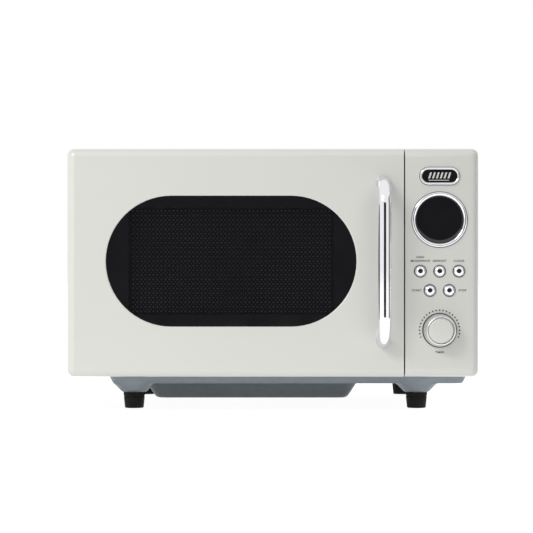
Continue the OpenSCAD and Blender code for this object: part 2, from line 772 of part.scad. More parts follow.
// Foot screws, rear screws and the transformer's bolts
module case_screws() color(zinc) {
    for (x = foot_x, y = foot_y) {
        z_rod(x, y, 3.6, 6, 8);
        z_rod(x, y, 6, foot_h + sheet + 6, 4);
    }
    for (p = rear_screws) {
        y_rod(p.x, p.y, y_panel - 9, y_flange, 4);
        y_rod(p.x, p.y, y_flange, y_back - 0.2, 7);
    }
    for (p = concat(filter_posts, fan_posts)) {
        y_rod(p.x, p.y, y_panel - sheet - post_bore + 1, y_panel, post_screw_d);
        y_rod(p.x, p.y, y_panel, y_panel + 2, 6);
    }
}

// ---- oven ----

module cavity() color([0.62, 0.63, 0.65]) difference() {
    box([mouth_x[0] - sheet, cavity_y[0], mouth_z[0] - sheet],
        [mouth_x[1] + sheet, cavity_y[1] + sheet, mouth_z[1] + sheet]);
    box([mouth_x[0], cavity_y[0] - eps, mouth_z[0]], [mouth_x[1], cavity_y[1], mouth_z[1]]);
    z_rod(turn_x, turn_y, mouth_z[0] - 2, mouth_z[0] + eps, 16);
    box([mouth_x[1] - eps, guide_y - 35, tube_z - 45], [bay_x + eps, guide_y + 35, tube_z - 10]);
    for (i = [-1 : 1], j = [-1 : 1])
        x_rod(cavity_y[0] + 54 + 7 * i, mouth_z[1] - 22 + 7 * j, mouth_x[1] - eps, bay_x + eps, 4);
    for (i = [0 : 5], j = [0 : 2])
        x_rod(cavity_y[1] - 60 + 8 * i, mouth_z[1] - 40 + 8 * j, mouth_x[0] - 2, mouth_x[0] + eps, 4);
}

module waveguide() color(zinc) difference() {
    box([bay_x, guide_y - guide_w / 2, tube_z - 60], [tube_x, guide_y + guide_w / 2, tube_z + 26]);
    box([bay_x - eps, guide_y - guide_w / 2 + sheet, tube_z - 60 + sheet],
        [tube_x - sheet, guide_y + guide_w / 2 - sheet, tube_z + 26 - sheet]);
    x_rod(guide_y, tube_z, tube_x - 2, tube_x + eps, 24);
}

module waveguide_cover() color(mica)
    box([mouth_x[1] - 0.6, guide_y - 42, tube_z - 52], [mouth_x[1], guide_y + 42, tube_z - 3]);

// Steel yoke with its two ring magnets and the filter box at its end
module magnetron_yoke() color(zinc) {
    difference() {
        box([tube_x, guide_y - yoke_w / 2, tube_z - yoke_h / 2],
            [tube_x + yoke_l, guide_y + yoke_w / 2, tube_z + yoke_h / 2]);
        box([tube_x + yoke_t, guide_y - yoke_w / 2 - eps, tube_z - yoke_h / 2 + yoke_t],
            [tube_x + yoke_l - yoke_t, guide_y + yoke_w / 2 + eps, tube_z + yoke_h / 2 - yoke_t]);
        x_rod(guide_y, tube_z, tube_x - eps, tube_x + yoke_t + eps, 20);
    }
    for (x = [tube_x + yoke_t, tube_x + yoke_l - yoke_t - 9]) difference() {
        x_rod(guide_y, tube_z, x, x + 9, 54);
        x_rod(guide_y, tube_z, x - eps, x + 9 + eps, 20);
    }
    box([tube_x + yoke_l, guide_y - 26, tube_z - 20], [tube_x + yoke_l + 16, guide_y + 26, tube_z + 20]);
}

// Copper anode with its cooling fins and the antenna
module magnetron_anode() color(copper) {
    x0 = tube_x + yoke_t + 9;
    x1 = tube_x + yoke_l - yoke_t - 9;
    x_rod(guide_y, tube_z, x0, x1, anode_d);
    for (i = [1 : 5]) {
        x = x0 + (x1 - x0) * i / 6;
        box([x - 0.4, guide_y - 38, tube_z - yoke_h / 2 + yoke_t],
            [x + 0.4, guide_y + 38, tube_z + yoke_h / 2 - yoke_t]);
    }
    x_rod(guide_y, tube_z, tube_x - 14, x0, 15);
}

lamp_y = cavity_y[0] + 54;
lamp_z = mouth_z[1] - 22;

module lamp() color([0.95, 0.93, 0.85]) {
    translate([bay_x + 14, lamp_y, lamp_z]) rotate([0, 90, 0]) rotate_extrude() intersection() {
        union() {
            circle(d = 20);
            translate([0, 5]) square([6.5, 15]);
        }
        translate([0, -20]) square([20, 60]);
    }
    difference() {
        x_rod(lamp_y, lamp_z, bay_x + 28, bay_x + 40, 20);
        x_rod(lamp_y, lamp_z, bay_x + 27, bay_x + 34, 13);
    }
    box([bay_x, lamp_y - 10, lamp_z + 12], [bay_x + 36, lamp_y + 10, lamp_z + 14]);
    box([bay_x + 34, lamp_y - 8, lamp_z + 9], [bay_x + 36, lamp_y + 8, lamp_z + 12]);
}

// ---- power ----

module core_windows(g) {
    for (s = [-1, 1]) translate([core_y + s * 21, z_floor + core_h / 2])
        square([14 - 2 * g, core_h - 28 - 2 * g], center = true);
}

module transformer_core() color([0.35, 0.33, 0.32]) difference() {
    x_slab(core_x[0], core_x[1]) difference() {
        translate([core_y - core_w / 2, z_floor]) square([core_w, core_h]);
        core_windows(0);
    }
}

module transformer_windings() color(copper)
    for (z = [[z_floor + 14.5, z_floor + 30], [z_floor + 34, z_floor + 55.5]]) difference() {
        box([core_x[0] - 13, core_y - 27.5, z[0]], [core_x[1] + 13, core_y + 27.5, z[1]]);
        box([core_x[0] - 0.5, core_y - 14, z[0] - eps], [core_x[1] + 0.5, core_y + 14, z[1] + eps]);
    }

module can_outline(g) {
    translate([can_x, can_z]) rotate(90) stadium(can_h + 2 * g, can_w + 2 * g);
}

module capacitor() color([0.75, 0.76, 0.77]) {
    y_slab(can_y[0], can_y[1]) can_outline(0);
    for (s = [-1, 1]) y_rod(can_x, can_z + s * 12, can_y[0] - 8, can_y[0], 6);
}

module capacitor_clamp() color(zinc) {
    y_slab(can_y[0] + 30, can_y[0] + 45) difference() {
        can_outline(clamp_t);
        can_outline(0);
    }
    box([can_x - can_w / 2 - 16, can_y[0] + 30, z_floor],
        [can_x - can_w / 2 + 6, can_y[0] + 45, z_floor + clamp_t]);
}

module hv_diode() color(black) {
    x_rod(can_y[0] - 5, can_z - 12, can_x + 3, can_x + 22, 5);
    z_rod(can_x + 20, can_y[0] - 5, z_floor, can_z - 12, 1.5);
}

filter_x = [case_x - 92, case_x - 52];
filter_z = [z_low + 20, z_low + 74];
filter_posts = [for (x = [filter_x[0] + 4, filter_x[1] - 4], z = [filter_z[0] + 4, filter_z[1] - 4])
    [x, z]];

// Mains filter: board on four posts, choke, capacitor and fuse
module filter_board() color(board_green) {
    y = y_panel - sheet - 8;
    box([filter_x[0], y - board_t, filter_z[0]], [filter_x[1], y, filter_z[1]]);
    for (p = filter_posts) panel_post(p, y, 6);
    y_rod(filter_x[0] + 18, filter_z[1] - 18, y - board_t - 14, y - board_t, 24);
    box([filter_x[0] + 6, y - board_t - 10, filter_z[0] + 5],
        [filter_x[0] + 30, y - board_t, filter_z[0] + 15]);
}

// ---- cooling ----

module fan_shroud() color(black) {
    ring_in = fan_d + 6;
    y_slab(fan_y, fan_y + 2) translate([fan_x, fan_z]) difference() {
        square(fan_plate, center = true);
        circle(d = ring_in);
    }
    for (p = fan_posts) panel_post(p, fan_y + 2, 7);
    y_slab(fan_y + 2, fan_y + 18) translate([fan_x, fan_z]) difference() {
        circle(d = ring_in + 3);
        circle(d = ring_in);
    }
    for (s = [-1, 1]) box([fan_x + s * (ring_in / 2 + 0.5) - 1, fan_y + 18, fan_z - 4],
                          [fan_x + s * (ring_in / 2 + 0.5) + 1, fan_y + 30, fan_z + 4]);
    // Duct to the magnetron
    duct_y = guide_y + yoke_w / 2;
    y_slab(duct_y + 1, fan_y) difference() {
        translate([tube_x + 2, tube_z - 38]) square([76, 76]);
        translate([tube_x + 3.5, tube_z - 36.5]) square([73, 73]);
    }
}

// Shaded-pole motor on a bar across the shroud
module fan_motor() color([0.4, 0.4, 0.42]) difference() {
    union() {
        box([fan_x - 26, fan_y + 32, fan_z - 22], [fan_x + 26, fan_y + 44, fan_z + 22]);
        box([fan_x - fan_d / 2 - 5, fan_y + 30, fan_z - 5], [fan_x + fan_d / 2 + 5, fan_y + 32, fan_z + 5]);
        y_rod(fan_x, fan_z, fan_y + 24, fan_y + 30, 12);
    }
    y_rod(fan_x, fan_z, fan_y + 20, fan_y + 42, fan_shaft_d + 2 * run_fit);
}

module fan_blade() color(white_plastic) {
    y0 = fan_y + 6;
    y_rod(fan_x, fan_z, y0, y0 + 14, 22);
    intersection() {
        for (a = [0 : 72 : 288]) translate([fan_x, y0 + 7, fan_z]) rotate([0, a, 0])
            translate([fan_d / 4 + 2, 0, 0]) rotate([35, 0, 0])
                cube([fan_d / 2, 1.6, 26], center = true);
        y_rod(fan_x, fan_z, y0 - 10, y0 + 24, fan_d);
    }
    y_rod(fan_x, fan_z, y0 + 14, fan_y + 40, fan_shaft_d);
}

// ---- turntable ----

module turntable_motor() color(zinc) {
    top = mouth_z[0] - sheet;
    difference() {
        union() {
            z_rod(turn_x, turn_y, top - motor_h, top, motor_d);
            box([turn_x - motor_d / 2 - 8, turn_y - 5, top - 2],
                [turn_x + motor_d / 2 + 8, turn_y + 5, top]);
        }
        z_rod(turn_x, turn_y, top - motor_h + 3, top + eps, drive_d + 2 * run_fit);
    }
}

module coupler() color(white_plastic) {
    z_rod(turn_x, turn_y, mouth_z[0] - sheet - motor_h + 4, mouth_z[0] + 1, drive_d);
    z_rod(turn_x, turn_y, mouth_z[0] + 1, z_glass, 18);
    for (a = [0, 120, 240]) translate([turn_x, turn_y, mouth_z[0] + 8]) rotate(a)
        translate([0, -3, 0]) cube([15, 6, z_glass - mouth_z[0] - 8]);
}

module glass_tray() color(clear) translate([turn_x, turn_y, z_glass]) {
    r = tray_d / 2;
    rotate_extrude() polygon([
        [0, 0], [r - 22, 0], [r - 14, 3], [r - 2, 12], [r, 14], [r - 3, 15],
        [r - 14, 8], [r - 23, 5], [0, 5]
    ]);
    for (a = [60, 180, 300]) rotate(a) translate([12, 0, -5]) cylinder(h = 5, d = 5);
}

module roller_ring() color(white_plastic) {
    translate([turn_x, turn_y, 0]) {
        z_slab(roller_z - 3, roller_z + 3) difference() {
            circle(ring_r + 4);
            circle(ring_r - 4);
        }
        for (a = [90, 210, 330]) rotate(a) {
            x_rod(0, roller_z, ring_r, track_r + roller_w / 2 + 0.3, axle_d);
            x_rod(0, roller_z, track_r + roller_w / 2 + 0.3, track_r + roller_w / 2 + 1.6, axle_d + 2.5);
        }
    }
}

module roller(a) color(white_plastic) translate([turn_x, turn_y, 0]) rotate(a) difference() {
    x_rod(0, roller_z, track_r - roller_w / 2, track_r + roller_w / 2, roller_d);
    x_rod(0, roller_z, track_r - roller_w, track_r + roller_w, axle_d + 2 * run_fit);
}

// ---- hinges, latch board and switches ----

// Bracket behind the front frame with a riveted pin, which points up or down
module hinge(z, up) color(zinc) {
    y0 = y_frame + sheet;
    plate_z = up ? [z - 4, z + ear_t + 20] : [z - 20, z + ear_t + 2];
    box([hinge_x - ear_r, y0, plate_z[0]], [hinge_x + ear_r + 8, y0 + 2, plate_z[1]]);
    box([hinge_x - ear_r, hinge_y, z], [hinge_x + ear_r, y0, z + ear_t]);
    z_rod(hinge_x, hinge_y, z, z + ear_t, 2 * ear_r);
    if (up) z_rod(hinge_x, hinge_y, z + ear_t, z + ear_t + ear_gap + lug_t + 1, pin_d);
    else z_rod(hinge_x, hinge_y, z - ear_gap - lug_t - 1, z, pin_d);
}

board_back = 40;

module latch_board() color(white_plastic) {
    y0 = y_frame + sheet;
    z = [z_mid - latch_half - 3, z_mid + latch_half + 3];
    difference() {
        box([bay_x, y0, z[0]], [x_seam, y0 + 2, z[1]]);
        for (h = hook_z)
            box([hook_x[0] - 2, y0 - eps, h - 4 - barb - 1], [hook_x[1] + 4, y0 + 3, h + latch_lift + 6]);
    }
    box([bay_x, y0 + 2, z[0]], [bay_x + 2, y0 + board_back, z[1]]);
}

// Three interlock switches on the latch board and the thermal cut-out on the oven's roof
module safety_switches() color(black) {
    y0 = y_door + hook_reach + 2;
    for (z = [hook_z[0] - 14, hook_z[0] + 22, hook_z[1] - 14])
        box([bay_x + 2, y0, z], [bay_x + 12, y0 + 16, z + 28]);
    z_rod(turn_x + 90, turn_y, mouth_z[1] + sheet, mouth_z[1] + sheet + 8, 16);
}

cabinet();
rear_panel();
base_plate();
motor_cover();
feet();
case_screws();
front_frame();
cavity();
waveguide();
waveguide_cover();
magnetron_yoke();
magnetron_anode();
lamp();
transformer_core();
transformer_windings();
capacitor();
capacitor_clamp();
hv_diode();
fan_shroud();
fan_motor();
fan_blade();
turntable_motor();
coupler();
roller_ring();
roller(90);  // roller_1
roller(210);  // roller_2
roller(330);  // roller_3
glass_tray();
filter_board();
cord_gland();
hinge(ear_z[1], false);  // hinge_upper
hinge(ear_z[0], true);  // hinge_lower
latch_board();
safety_switches();
control_panel();
control_board();
board_parts();
encoder();
display_ring();
display_lens();
badge_rim();
badge_plate();
button_rings();
button(button_at[0]);  // button_power
button(button_at[1]);  // button_defrost
button(button_at[2]);  // button_clock
button(button_at[3]);  // button_start
button(button_at[4]);  // button_stop
knob();
knob_face();
door_skin();
door_glass();
door_frame();
door_screen();
inner_film();
choke_cover();
handle();
door_screws();
door_latch();
latch_spring();
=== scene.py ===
"""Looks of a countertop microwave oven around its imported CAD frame.

Metres, +Z up, the door faces -Y. Places come from the CAD nodes' boxes.
"""
import json
import math

import bmesh
import bpy
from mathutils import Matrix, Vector
from mathutils.geometry import tessellate_polygon


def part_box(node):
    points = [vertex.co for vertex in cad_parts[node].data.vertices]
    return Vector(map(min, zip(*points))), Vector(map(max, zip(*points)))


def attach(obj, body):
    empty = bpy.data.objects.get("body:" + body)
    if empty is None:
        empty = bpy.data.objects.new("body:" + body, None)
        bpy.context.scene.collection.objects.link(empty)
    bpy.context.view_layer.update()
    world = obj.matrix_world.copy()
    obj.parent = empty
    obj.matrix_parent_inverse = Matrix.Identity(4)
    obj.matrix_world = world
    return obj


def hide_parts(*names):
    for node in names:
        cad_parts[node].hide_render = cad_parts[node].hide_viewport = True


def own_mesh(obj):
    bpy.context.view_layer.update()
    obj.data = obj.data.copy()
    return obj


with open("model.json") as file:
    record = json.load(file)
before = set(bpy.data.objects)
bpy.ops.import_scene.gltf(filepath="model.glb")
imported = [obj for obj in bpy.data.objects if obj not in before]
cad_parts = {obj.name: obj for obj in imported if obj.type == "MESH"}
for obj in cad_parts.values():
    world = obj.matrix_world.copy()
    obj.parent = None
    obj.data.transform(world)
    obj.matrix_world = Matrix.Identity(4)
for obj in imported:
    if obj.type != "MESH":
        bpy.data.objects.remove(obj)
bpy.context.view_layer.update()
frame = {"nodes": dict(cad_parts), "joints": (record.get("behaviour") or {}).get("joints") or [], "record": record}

MM = 0.001
scene = bpy.context.scene


def pivot(joint_name):
    """Point on the axis of a CAD joint."""
    return next(Vector(j["pos_m"]) for j in frame["joints"] if j["name"] == joint_name)


DOOR_LOW, DOOR_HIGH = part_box("door_skin")
PANEL_LOW, PANEL_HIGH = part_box("control_panel")
FACE_Y = DOOR_LOW.y                      # front of the door and the panel
HINGE = pivot("door_hinge")
SHELL_T = 2.5 * MM                       # wall of the door and panel shells
EDGE_R = 9 * MM                          # rounding of the outer front edges
CORNER_R = 7 * MM                        # corners seen from the front
SEAM_R = 0.5 * MM                        # rounding of the edges along the seam
PRINT_SINK = 0.02 * MM                   # how far print and relief reach into what they lie on


# ---------------------------------------------------------------- materials

class Paint:
    """A node material: a Principled shader and helpers that add procedural detail to it."""

    def __init__(self, name, color, rough, **sockets):
        self.mat = bpy.data.materials.new(name)
        self.mat.use_nodes = True
        self.nodes = self.mat.node_tree.nodes
        self.links = self.mat.node_tree.links
        self.shader = self.nodes["Principled BSDF"]
        self.color = color
        self.set("Base Color", (*color, 1.0))
        self.set("Roughness", rough)
        for socket, value in sockets.items():
            self.set(socket.replace("_", " ").title().replace("Ior", "IOR"), value)

    def set(self, socket, value):
        self.shader.inputs[socket].default_value = value

    def noise(self, scale, detail=3.0, stretch=(1, 1, 1)):
        coords = self.nodes.new("ShaderNodeTexCoord")
        mapping = self.nodes.new("ShaderNodeMapping")
        mapping.inputs["Scale"].default_value = stretch
        texture = self.nodes.new("ShaderNodeTexNoise")
        texture.inputs["Scale"].default_value = scale
        texture.inputs["Detail"].default_value = detail
        self.links.new(coords.outputs["Object"], mapping.inputs["Vector"])
        self.links.new(mapping.outputs["Vector"], texture.inputs["Vector"])
        return texture.outputs["Fac"]

    def remap(self, source, low, high, start=0.3, end=0.7):
        node = self.nodes.new("ShaderNodeMapRange")
        node.inputs["From Min"].default_value = start
        node.inputs["From Max"].default_value = end
        node.inputs["To Min"].default_value = low
        node.inputs["To Max"].default_value = high
        self.links.new(source, node.inputs["Value"])
        return node.outputs["Result"]

    def vary_color(self, scale, spread, stretch=(1, 1, 1), detail=3.0):
        """Mixes two shades of the base colour, spread apart, by noise."""
        mix = self.nodes.new("ShaderNodeMix")
        mix.data_type = "RGBA"
        mix.inputs["A"].default_value = (*[c * (1 - spread) for c in self.color], 1.0)
        mix.inputs["B"].default_value = (*[min(c * (1 + spread), 1) for c in self.color], 1.0)
        factor = self.remap(self.noise(scale, detail, stretch), 0.0, 1.0)
        self.links.new(factor, mix.inputs["Factor"])
        self.links.new(mix.outputs["Result"], self.shader.inputs["Base Color"])
        return self

    def vary_rough(self, scale, low, high, stretch=(1, 1, 1), detail=4.0):
        rough = self.remap(self.noise(scale, detail, stretch), low, high)
        self.links.new(rough, self.shader.inputs["Roughness"])
        return self

    def bump(self, scale, height, stretch=(1, 1, 1), detail=2.0):
        """Raises the surface by noise."""
        node = self.nodes.new("ShaderNodeBump")
        node.inputs["Distance"].default_value = height
        self.links.new(self.noise(scale, detail, stretch), node.inputs["Height"])
        self.links.new(node.outputs["Normal"], self.shader.inputs["Normal"])
        return self


def enamel():
    paint = Paint("enamel", (0.54, 0.54, 0.511), 0.3, coat_weight=0.35, coat_roughness=0.12)
    return paint.vary_color(5, 0.008, detail=1).vary_rough(25, 0.29, 0.32, detail=1).bump(700, 0.000012).mat


def chrome():
    paint = Paint("chrome", (0.83, 0.83, 0.86), 0.05, metallic=1.0)
    return paint.vary_color(40, 0.02).vary_rough(160, 0.03, 0.085, detail=6).bump(1400, 0.0000015).mat


def satin_chrome():
    paint = Paint("satin_chrome", (0.78, 0.78, 0.78), 0.32, metallic=1.0)
    return paint.vary_color(50, 0.02).vary_rough(180, 0.28, 0.38, detail=5).bump(1500, 0.000002).mat


def black_glass():
    paint = Paint("black_glass", (0.008, 0.008, 0.009), 0.04, ior=1.5)
    return paint.vary_color(30, 0.1).vary_rough(35, 0.025, 0.06).mat


def tinted_glass():
    paint = Paint("tinted_glass", (0.008, 0.008, 0.010), 0.04, ior=1.5, alpha=0.5)
    return paint.vary_rough(35, 0.025, 0.06).mat


def screen_paint():
    paint = Paint("screen_paint", (0.02, 0.019, 0.024), 0.5)
    return paint.vary_color(400, 0.2).vary_rough(300, 0.42, 0.6).bump(1800, 0.00001).mat


def milky_film():
    paint = Paint("milky_film", (0.5, 0.5, 0.53), 0.35, alpha=0.8)
    return paint.vary_color(7, 0.45, detail=1).bump(40, 0.0001).mat


def stamped_steel(name="stamped_steel", color=(0.2, 0.225, 0.25)):
    paint = Paint(name, color, 0.4, metallic=0.6)
    return paint.vary_color(60, 0.06, (1, 6, 1)).vary_rough(220, 0.32, 0.5).bump(700, 0.00002).mat


def zinc_steel():
    paint = Paint("zinc_steel", (0.38, 0.39, 0.4), 0.36, metallic=0.9)
    return paint.vary_color(160, 0.05, detail=1).vary_rough(160, 0.32, 0.42).bump(500, 0.00001).mat


def oven_enamel():
    paint = Paint("oven_enamel", (0.42, 0.43, 0.44), 0.35, coat_weight=0.2)
    return paint.vary_color(240, 0.09, detail=6).vary_rough(90, 0.3, 0.42).bump(800, 0.00002).mat


def laminated_iron():
    paint = Paint("laminated_iron", (0.12, 0.115, 0.11), 0.5, metallic=0.6)
    return paint.vary_color(900, 0.25, (1, 0.02, 0.02)).bump(900, 0.00008, (1, 0.02, 0.02)).mat


def wound_copper():
    paint = Paint("wound_copper", (0.55, 0.24, 0.1), 0.28, metallic=0.9)
    return paint.vary_color(1100, 0.25, (0.02, 0.02, 1)).bump(1100, 0.0001, (0.02, 0.02, 1)).mat


def drawn_can():
    paint = Paint("drawn_can", (0.66, 0.67, 0.68), 0.3, metallic=1.0)
    return paint.vary_rough(300, 0.22, 0.4, (1, 0.05, 1)).bump(400, 0.00001, (1, 0.05, 1)).mat


def rubber():
    paint = Paint("rubber", (0.004, 0.004, 0.0045), 0.6, specular_ior_level=0.2)
    return paint.vary_color(200, 0.2).vary_rough(150, 0.52, 0.72).bump(1500, 0.00003).mat


def black_plastic():
    paint = Paint("black_plastic", (0.02, 0.02, 0.021), 0.42)
    return paint.vary_color(300, 0.12).vary_rough(200, 0.36, 0.5).bump(2200, 0.00002).mat


def white_plastic():
    paint = Paint("white_plastic", (0.7, 0.7, 0.66), 0.38)
    return paint.vary_color(60, 0.02).vary_rough(150, 0.32, 0.45).bump(1600, 0.00001).mat


def circuit_board():
    paint = Paint("circuit_board", (0.03, 0.17, 0.07), 0.35)
    return paint.vary_color(320, 0.35, detail=1).bump(320, 0.00003).mat


def mica():
    paint = Paint("mica", (0.5, 0.41, 0.27), 0.4, coat_weight=0.3)
    return paint.vary_color(70, 0.25, (1, 1, 3), 6).bump(160, 0.00004).mat


def tray_glass():
    paint = Paint("tray_glass", (0.8, 0.9, 0.88), 0.05, ior=1.5, alpha=0.4)
    return paint.vary_rough(50, 0.03, 0.09).bump(60, 0.00004).mat


def lamp_glass():
    paint = Paint("lamp_glass", (0.85, 0.83, 0.76), 0.1, alpha=0.7)
    return paint.vary_rough(80, 0.06, 0.16).bump(120, 0.00003).mat


def print_ink():
    paint = Paint("print_ink", (0.018, 0.018, 0.018), 0.45)
    return paint.vary_color(800, 0.2).bump(2500, 0.000005).mat


FINISHES = {
    "enamel": enamel(), "chrome": chrome(), "black_glass": black_glass(), "screen_steel": screen_paint(),
    "stamped_steel": stamped_steel(), "zinc_steel": zinc_steel(), "oven_enamel": oven_enamel(),
    "iron": laminated_iron(), "copper": wound_copper(), "can_aluminium": drawn_can(), "rubber": rubber(),
    "black_plastic": black_plastic(), "white_plastic": white_plastic(), "circuit_board": circuit_board(),
    "mica": mica(), "clear_film": milky_film(), "tray_glass": tray_glass(), "lamp_glass": lamp_glass(),
}
CHROME_AND_BLACK = [FINISHES["chrome"], FINISHES["black_plastic"]]
SATIN = satin_chrome()
INK = print_ink()
TINTED = tinted_glass()


# ---------------------------------------------------------------- outlines, as (x, z) loops

def arc(cx, cz, radius, start, end, count):
    """Points from start to end degrees, both included."""
    angles = [math.radians(start + (end - start) * i / (count - 1)) for i in range(count)]
    return [(cx + radius * math.cos(a), cz + radius * math.sin(a)) for a in angles]


def circle(cx, cz, radius, count=64):
    return arc(cx, cz, radius, 0, 360 * (count - 1) / count, count)


def stadium(cx, cz, width, height, count=33):
    """A long shape with half-round ends, anticlockwise from the lower right."""
    half, r = (width - height) / 2, height / 2
    return arc(cx + half, cz, r, -90, 90, count) + arc(cx - half, cz, r, 90, 270, count)


def rounded_rect(x0, x1, z0, z1, radii, count=9):
    """Anticlockwise from the lower left; radii run lower left, lower right, upper right, upper left.

    A corner with no radius is one point.
    """
    corners = [(x0, z0, 1, 1, 180), (x1, z0, -1, 1, 270), (x1, z1, -1, -1, 0), (x0, z1, 1, -1, 90)]
    loop = []
    for (x, z, dx, dz, start), r in zip(corners, radii):
        loop += arc(x + dx * r, z + dz * r, r, start, start + 90, count) if r else [(x, z)]
    return loop


# ---------------------------------------------------------------- mesh building

def ring(bm, loop, y):
    """Vertices of an upright loop at depth y."""
    return [bm.verts.new((x, y, z)) for x, z in loop]


def bridge(bm, a, b):
    """Quads between two closed rings of the same length."""
    count = len(a)
    for i in range(count):
        j = (i + 1) % count
        quad = [a[i], a[j], b[j], b[i]]
        if len({tuple(v.co) for v in quad}) == 4:
            bm.faces.new(quad)


def stack(bm, rings):
    for a, b in zip(rings, rings[1:]):
        bridge(bm, a, b)


def flat_face(bm, outer, holes=()):
    """Fills a flat loop, leaving its holes open."""
    verts = [v for loop in (outer, *holes) for v in loop]
    for triangle in tessellate_polygon([[v.co for v in loop] for loop in (outer, *holes)]):
        bm.faces.new([verts[i] for i in triangle])


def round_section(bm, middle, side, up, radius, count):
    """Vertices of a circle in the plane of side and up."""
    turn = [2 * math.pi * i / count for i in range(count)]
    return [bm.verts.new(middle + (side * math.cos(a) + up * math.sin(a)) * radius) for a in turn]


def tube(bm, rings):
    """Closed solid through rings, with flat ends."""
    stack(bm, rings)
    bm.faces.new(rings[0])
    bm.faces.new(rings[-1])


def lathe(bm, centre, axis, profile, count=96):
    """Turns (radius, distance along the axis) points about an axis; a zero radius closes at a pole."""
    axis = Vector(axis).normalized()
    side = axis.orthogonal().normalized()
    up = axis.cross(side)
    rings = []
    for radius, along in profile:
        middle = Vector(centre) + axis * along
        if radius == 0:
            rings.append([bm.verts.new(middle)])
            continue
        rings.append(round_section(bm, middle, side, up, radius, count))
    for a, b in zip(rings, rings[1:]):
        if len(a) == len(b):
            bridge(bm, a, b)
            continue
        pole, loop = (a, b) if len(a) == 1 else (b, a)
        for i in range(count):
            bm.faces.new([pole[0], loop[i], loop[(i + 1) % count]])


def round_over(radius, depth, count=5):
    """Insets and depths of a quarter round, from the side of a plate to its face."""
    steps = [math.pi / 2 * i / (count - 1) for i in range(count)]
    return [(radius * (1 - math.cos(a)), depth * (1 - math.sin(a))) for a in steps]


def lip(edge, deep=None, count=6):
    """(growth, depth) of a hole's rounded edge, from the face inward; deep is its depth if not edge."""
    steps = [math.pi / 2 * i / (count - 1) for i in range(count)]
    return [(edge * (1 - math.sin(a)), (deep or edge) * (1 - math.cos(a))) for a in steps]


def hole_wall(bm, outline, profile, front):
    """Wall of a hole of outline(growth) along (growth, depth) points; returns its rings, front first."""
    rings = [ring(bm, outline(growth), front + depth) for growth, depth in profile]
    stack(bm, rings)
    return rings


def plate(bm, outline, front, back, edge, holes=()):
    """Closed upright plate of outline(inset) with a rounded front edge; holes are (outline, profile)."""
    rings = [ring(bm, outline(0), back)]
    rings += [ring(bm, outline(inset), front + depth) for inset, depth in round_over(edge, edge)]
    stack(bm, rings)
    walls = [hole_wall(bm, hole, profile, front) for hole, profile in holes]
    flat_face(bm, rings[-1], [wall[0] for wall in walls])
    flat_face(bm, rings[0], [wall[-1] for wall in walls])


def band(bm, outline, section):
    """Closed ring piece: outline(inset) at depth y for each (inset, y) of a closed section."""
    rings = [ring(bm, outline(inset), y) for inset, y in section]
    stack(bm, rings + rings[:1])


def sweep(bm, path, radii, count=48):
    """Tube along (point, direction) pairs in one upright plane; radii holds its radius at each."""
    side = Vector((1, 0, 0))
    tube(bm, [round_section(bm, point, side, direction.cross(side).normalized(), radius, count)
              for (point, direction), radius in zip(path, radii)])


def add_piece(name, bm, finish, body, replaces=(), sharp=40):
    """Makes the object, marks edges over the sharp angle, and fixes it to its body."""
    bmesh.ops.remove_doubles(bm, verts=bm.verts, dist=1e-7)
    bmesh.ops.recalc_face_normals(bm, faces=bm.faces)
    limit = math.radians(sharp)
    for face in bm.faces:
        face.smooth = True
    for edge in bm.edges:
        edge.smooth = len(edge.link_faces) == 2 and edge.calc_face_angle(0) < limit
    mesh = bpy.data.meshes.new(name)
    bm.to_mesh(mesh)
    bm.free()
    piece = bpy.data.objects.new(name, mesh)
    scene.collection.objects.link(piece)
    for mat in finish if isinstance(finish, (list, tuple)) else [finish]:
        mesh.materials.append(mat)
    shading = piece.modifiers.new("flat_shading", "WEIGHTED_NORMAL")
    shading.keep_sharp = True
    shading.weight = 80
    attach(piece, body)
    if replaces:
        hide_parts(*replaces)
    return piece


def add_sheet(name, corners, paint):
    """One flat face of the studio, which isn't part of the object."""
    bm = bmesh.new()
    bm.faces.new([bm.verts.new(c) for c in corners])
    mesh = bpy.data.meshes.new(name)
    bm.to_mesh(mesh)
    bm.free()
    sheet = bpy.data.objects.new(name, mesh)
    scene.collection.objects.link(sheet)
    mesh.materials.append(paint.mat)
    return sheet


def node_middle(node):
    low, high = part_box(node)
    return (low + high) / 2


# ---------------------------------------------------------------- front shells

def depths():
    """Depths behind the face at which the front shells have a section, deepest first."""
    large = [EDGE_R * (1 - math.sin(math.radians(a))) for a in range(0, 90, 9)]
    small = [SEAM_R * (1 - math.sin(math.radians(a))) for a in range(0, 91, 22)]
    return sorted({round(d, 8) for d in large + small + [0.0]}, reverse=True)


def inset_at(depth, radius):
    """How far a quarter round of this radius has come in at a depth behind the face."""
    return 0.0 if depth >= radius else radius - math.sqrt(radius ** 2 - (radius - depth) ** 2)


def shell_loop(low, high, door, outer, seam, rear):
    """Loop of the door (rounded left) or the panel (rounded right) with its insets.

    outer is the inset of the rounded sides, seam that of the side along the seam, and rear an
    extra inset of the outer side, where the door rounds towards its hinge.
    """
    r = max(CORNER_R - outer * 0.6, MM)
    z0, z1 = low.z + outer, high.z - outer
    if door:
        return rounded_rect(low.x + outer + rear, high.x - seam, z0, z1, (r, 0, 0, r))
    return rounded_rect(low.x + seam, high.x - outer - rear, z0, z1, (0, r, r, 0))


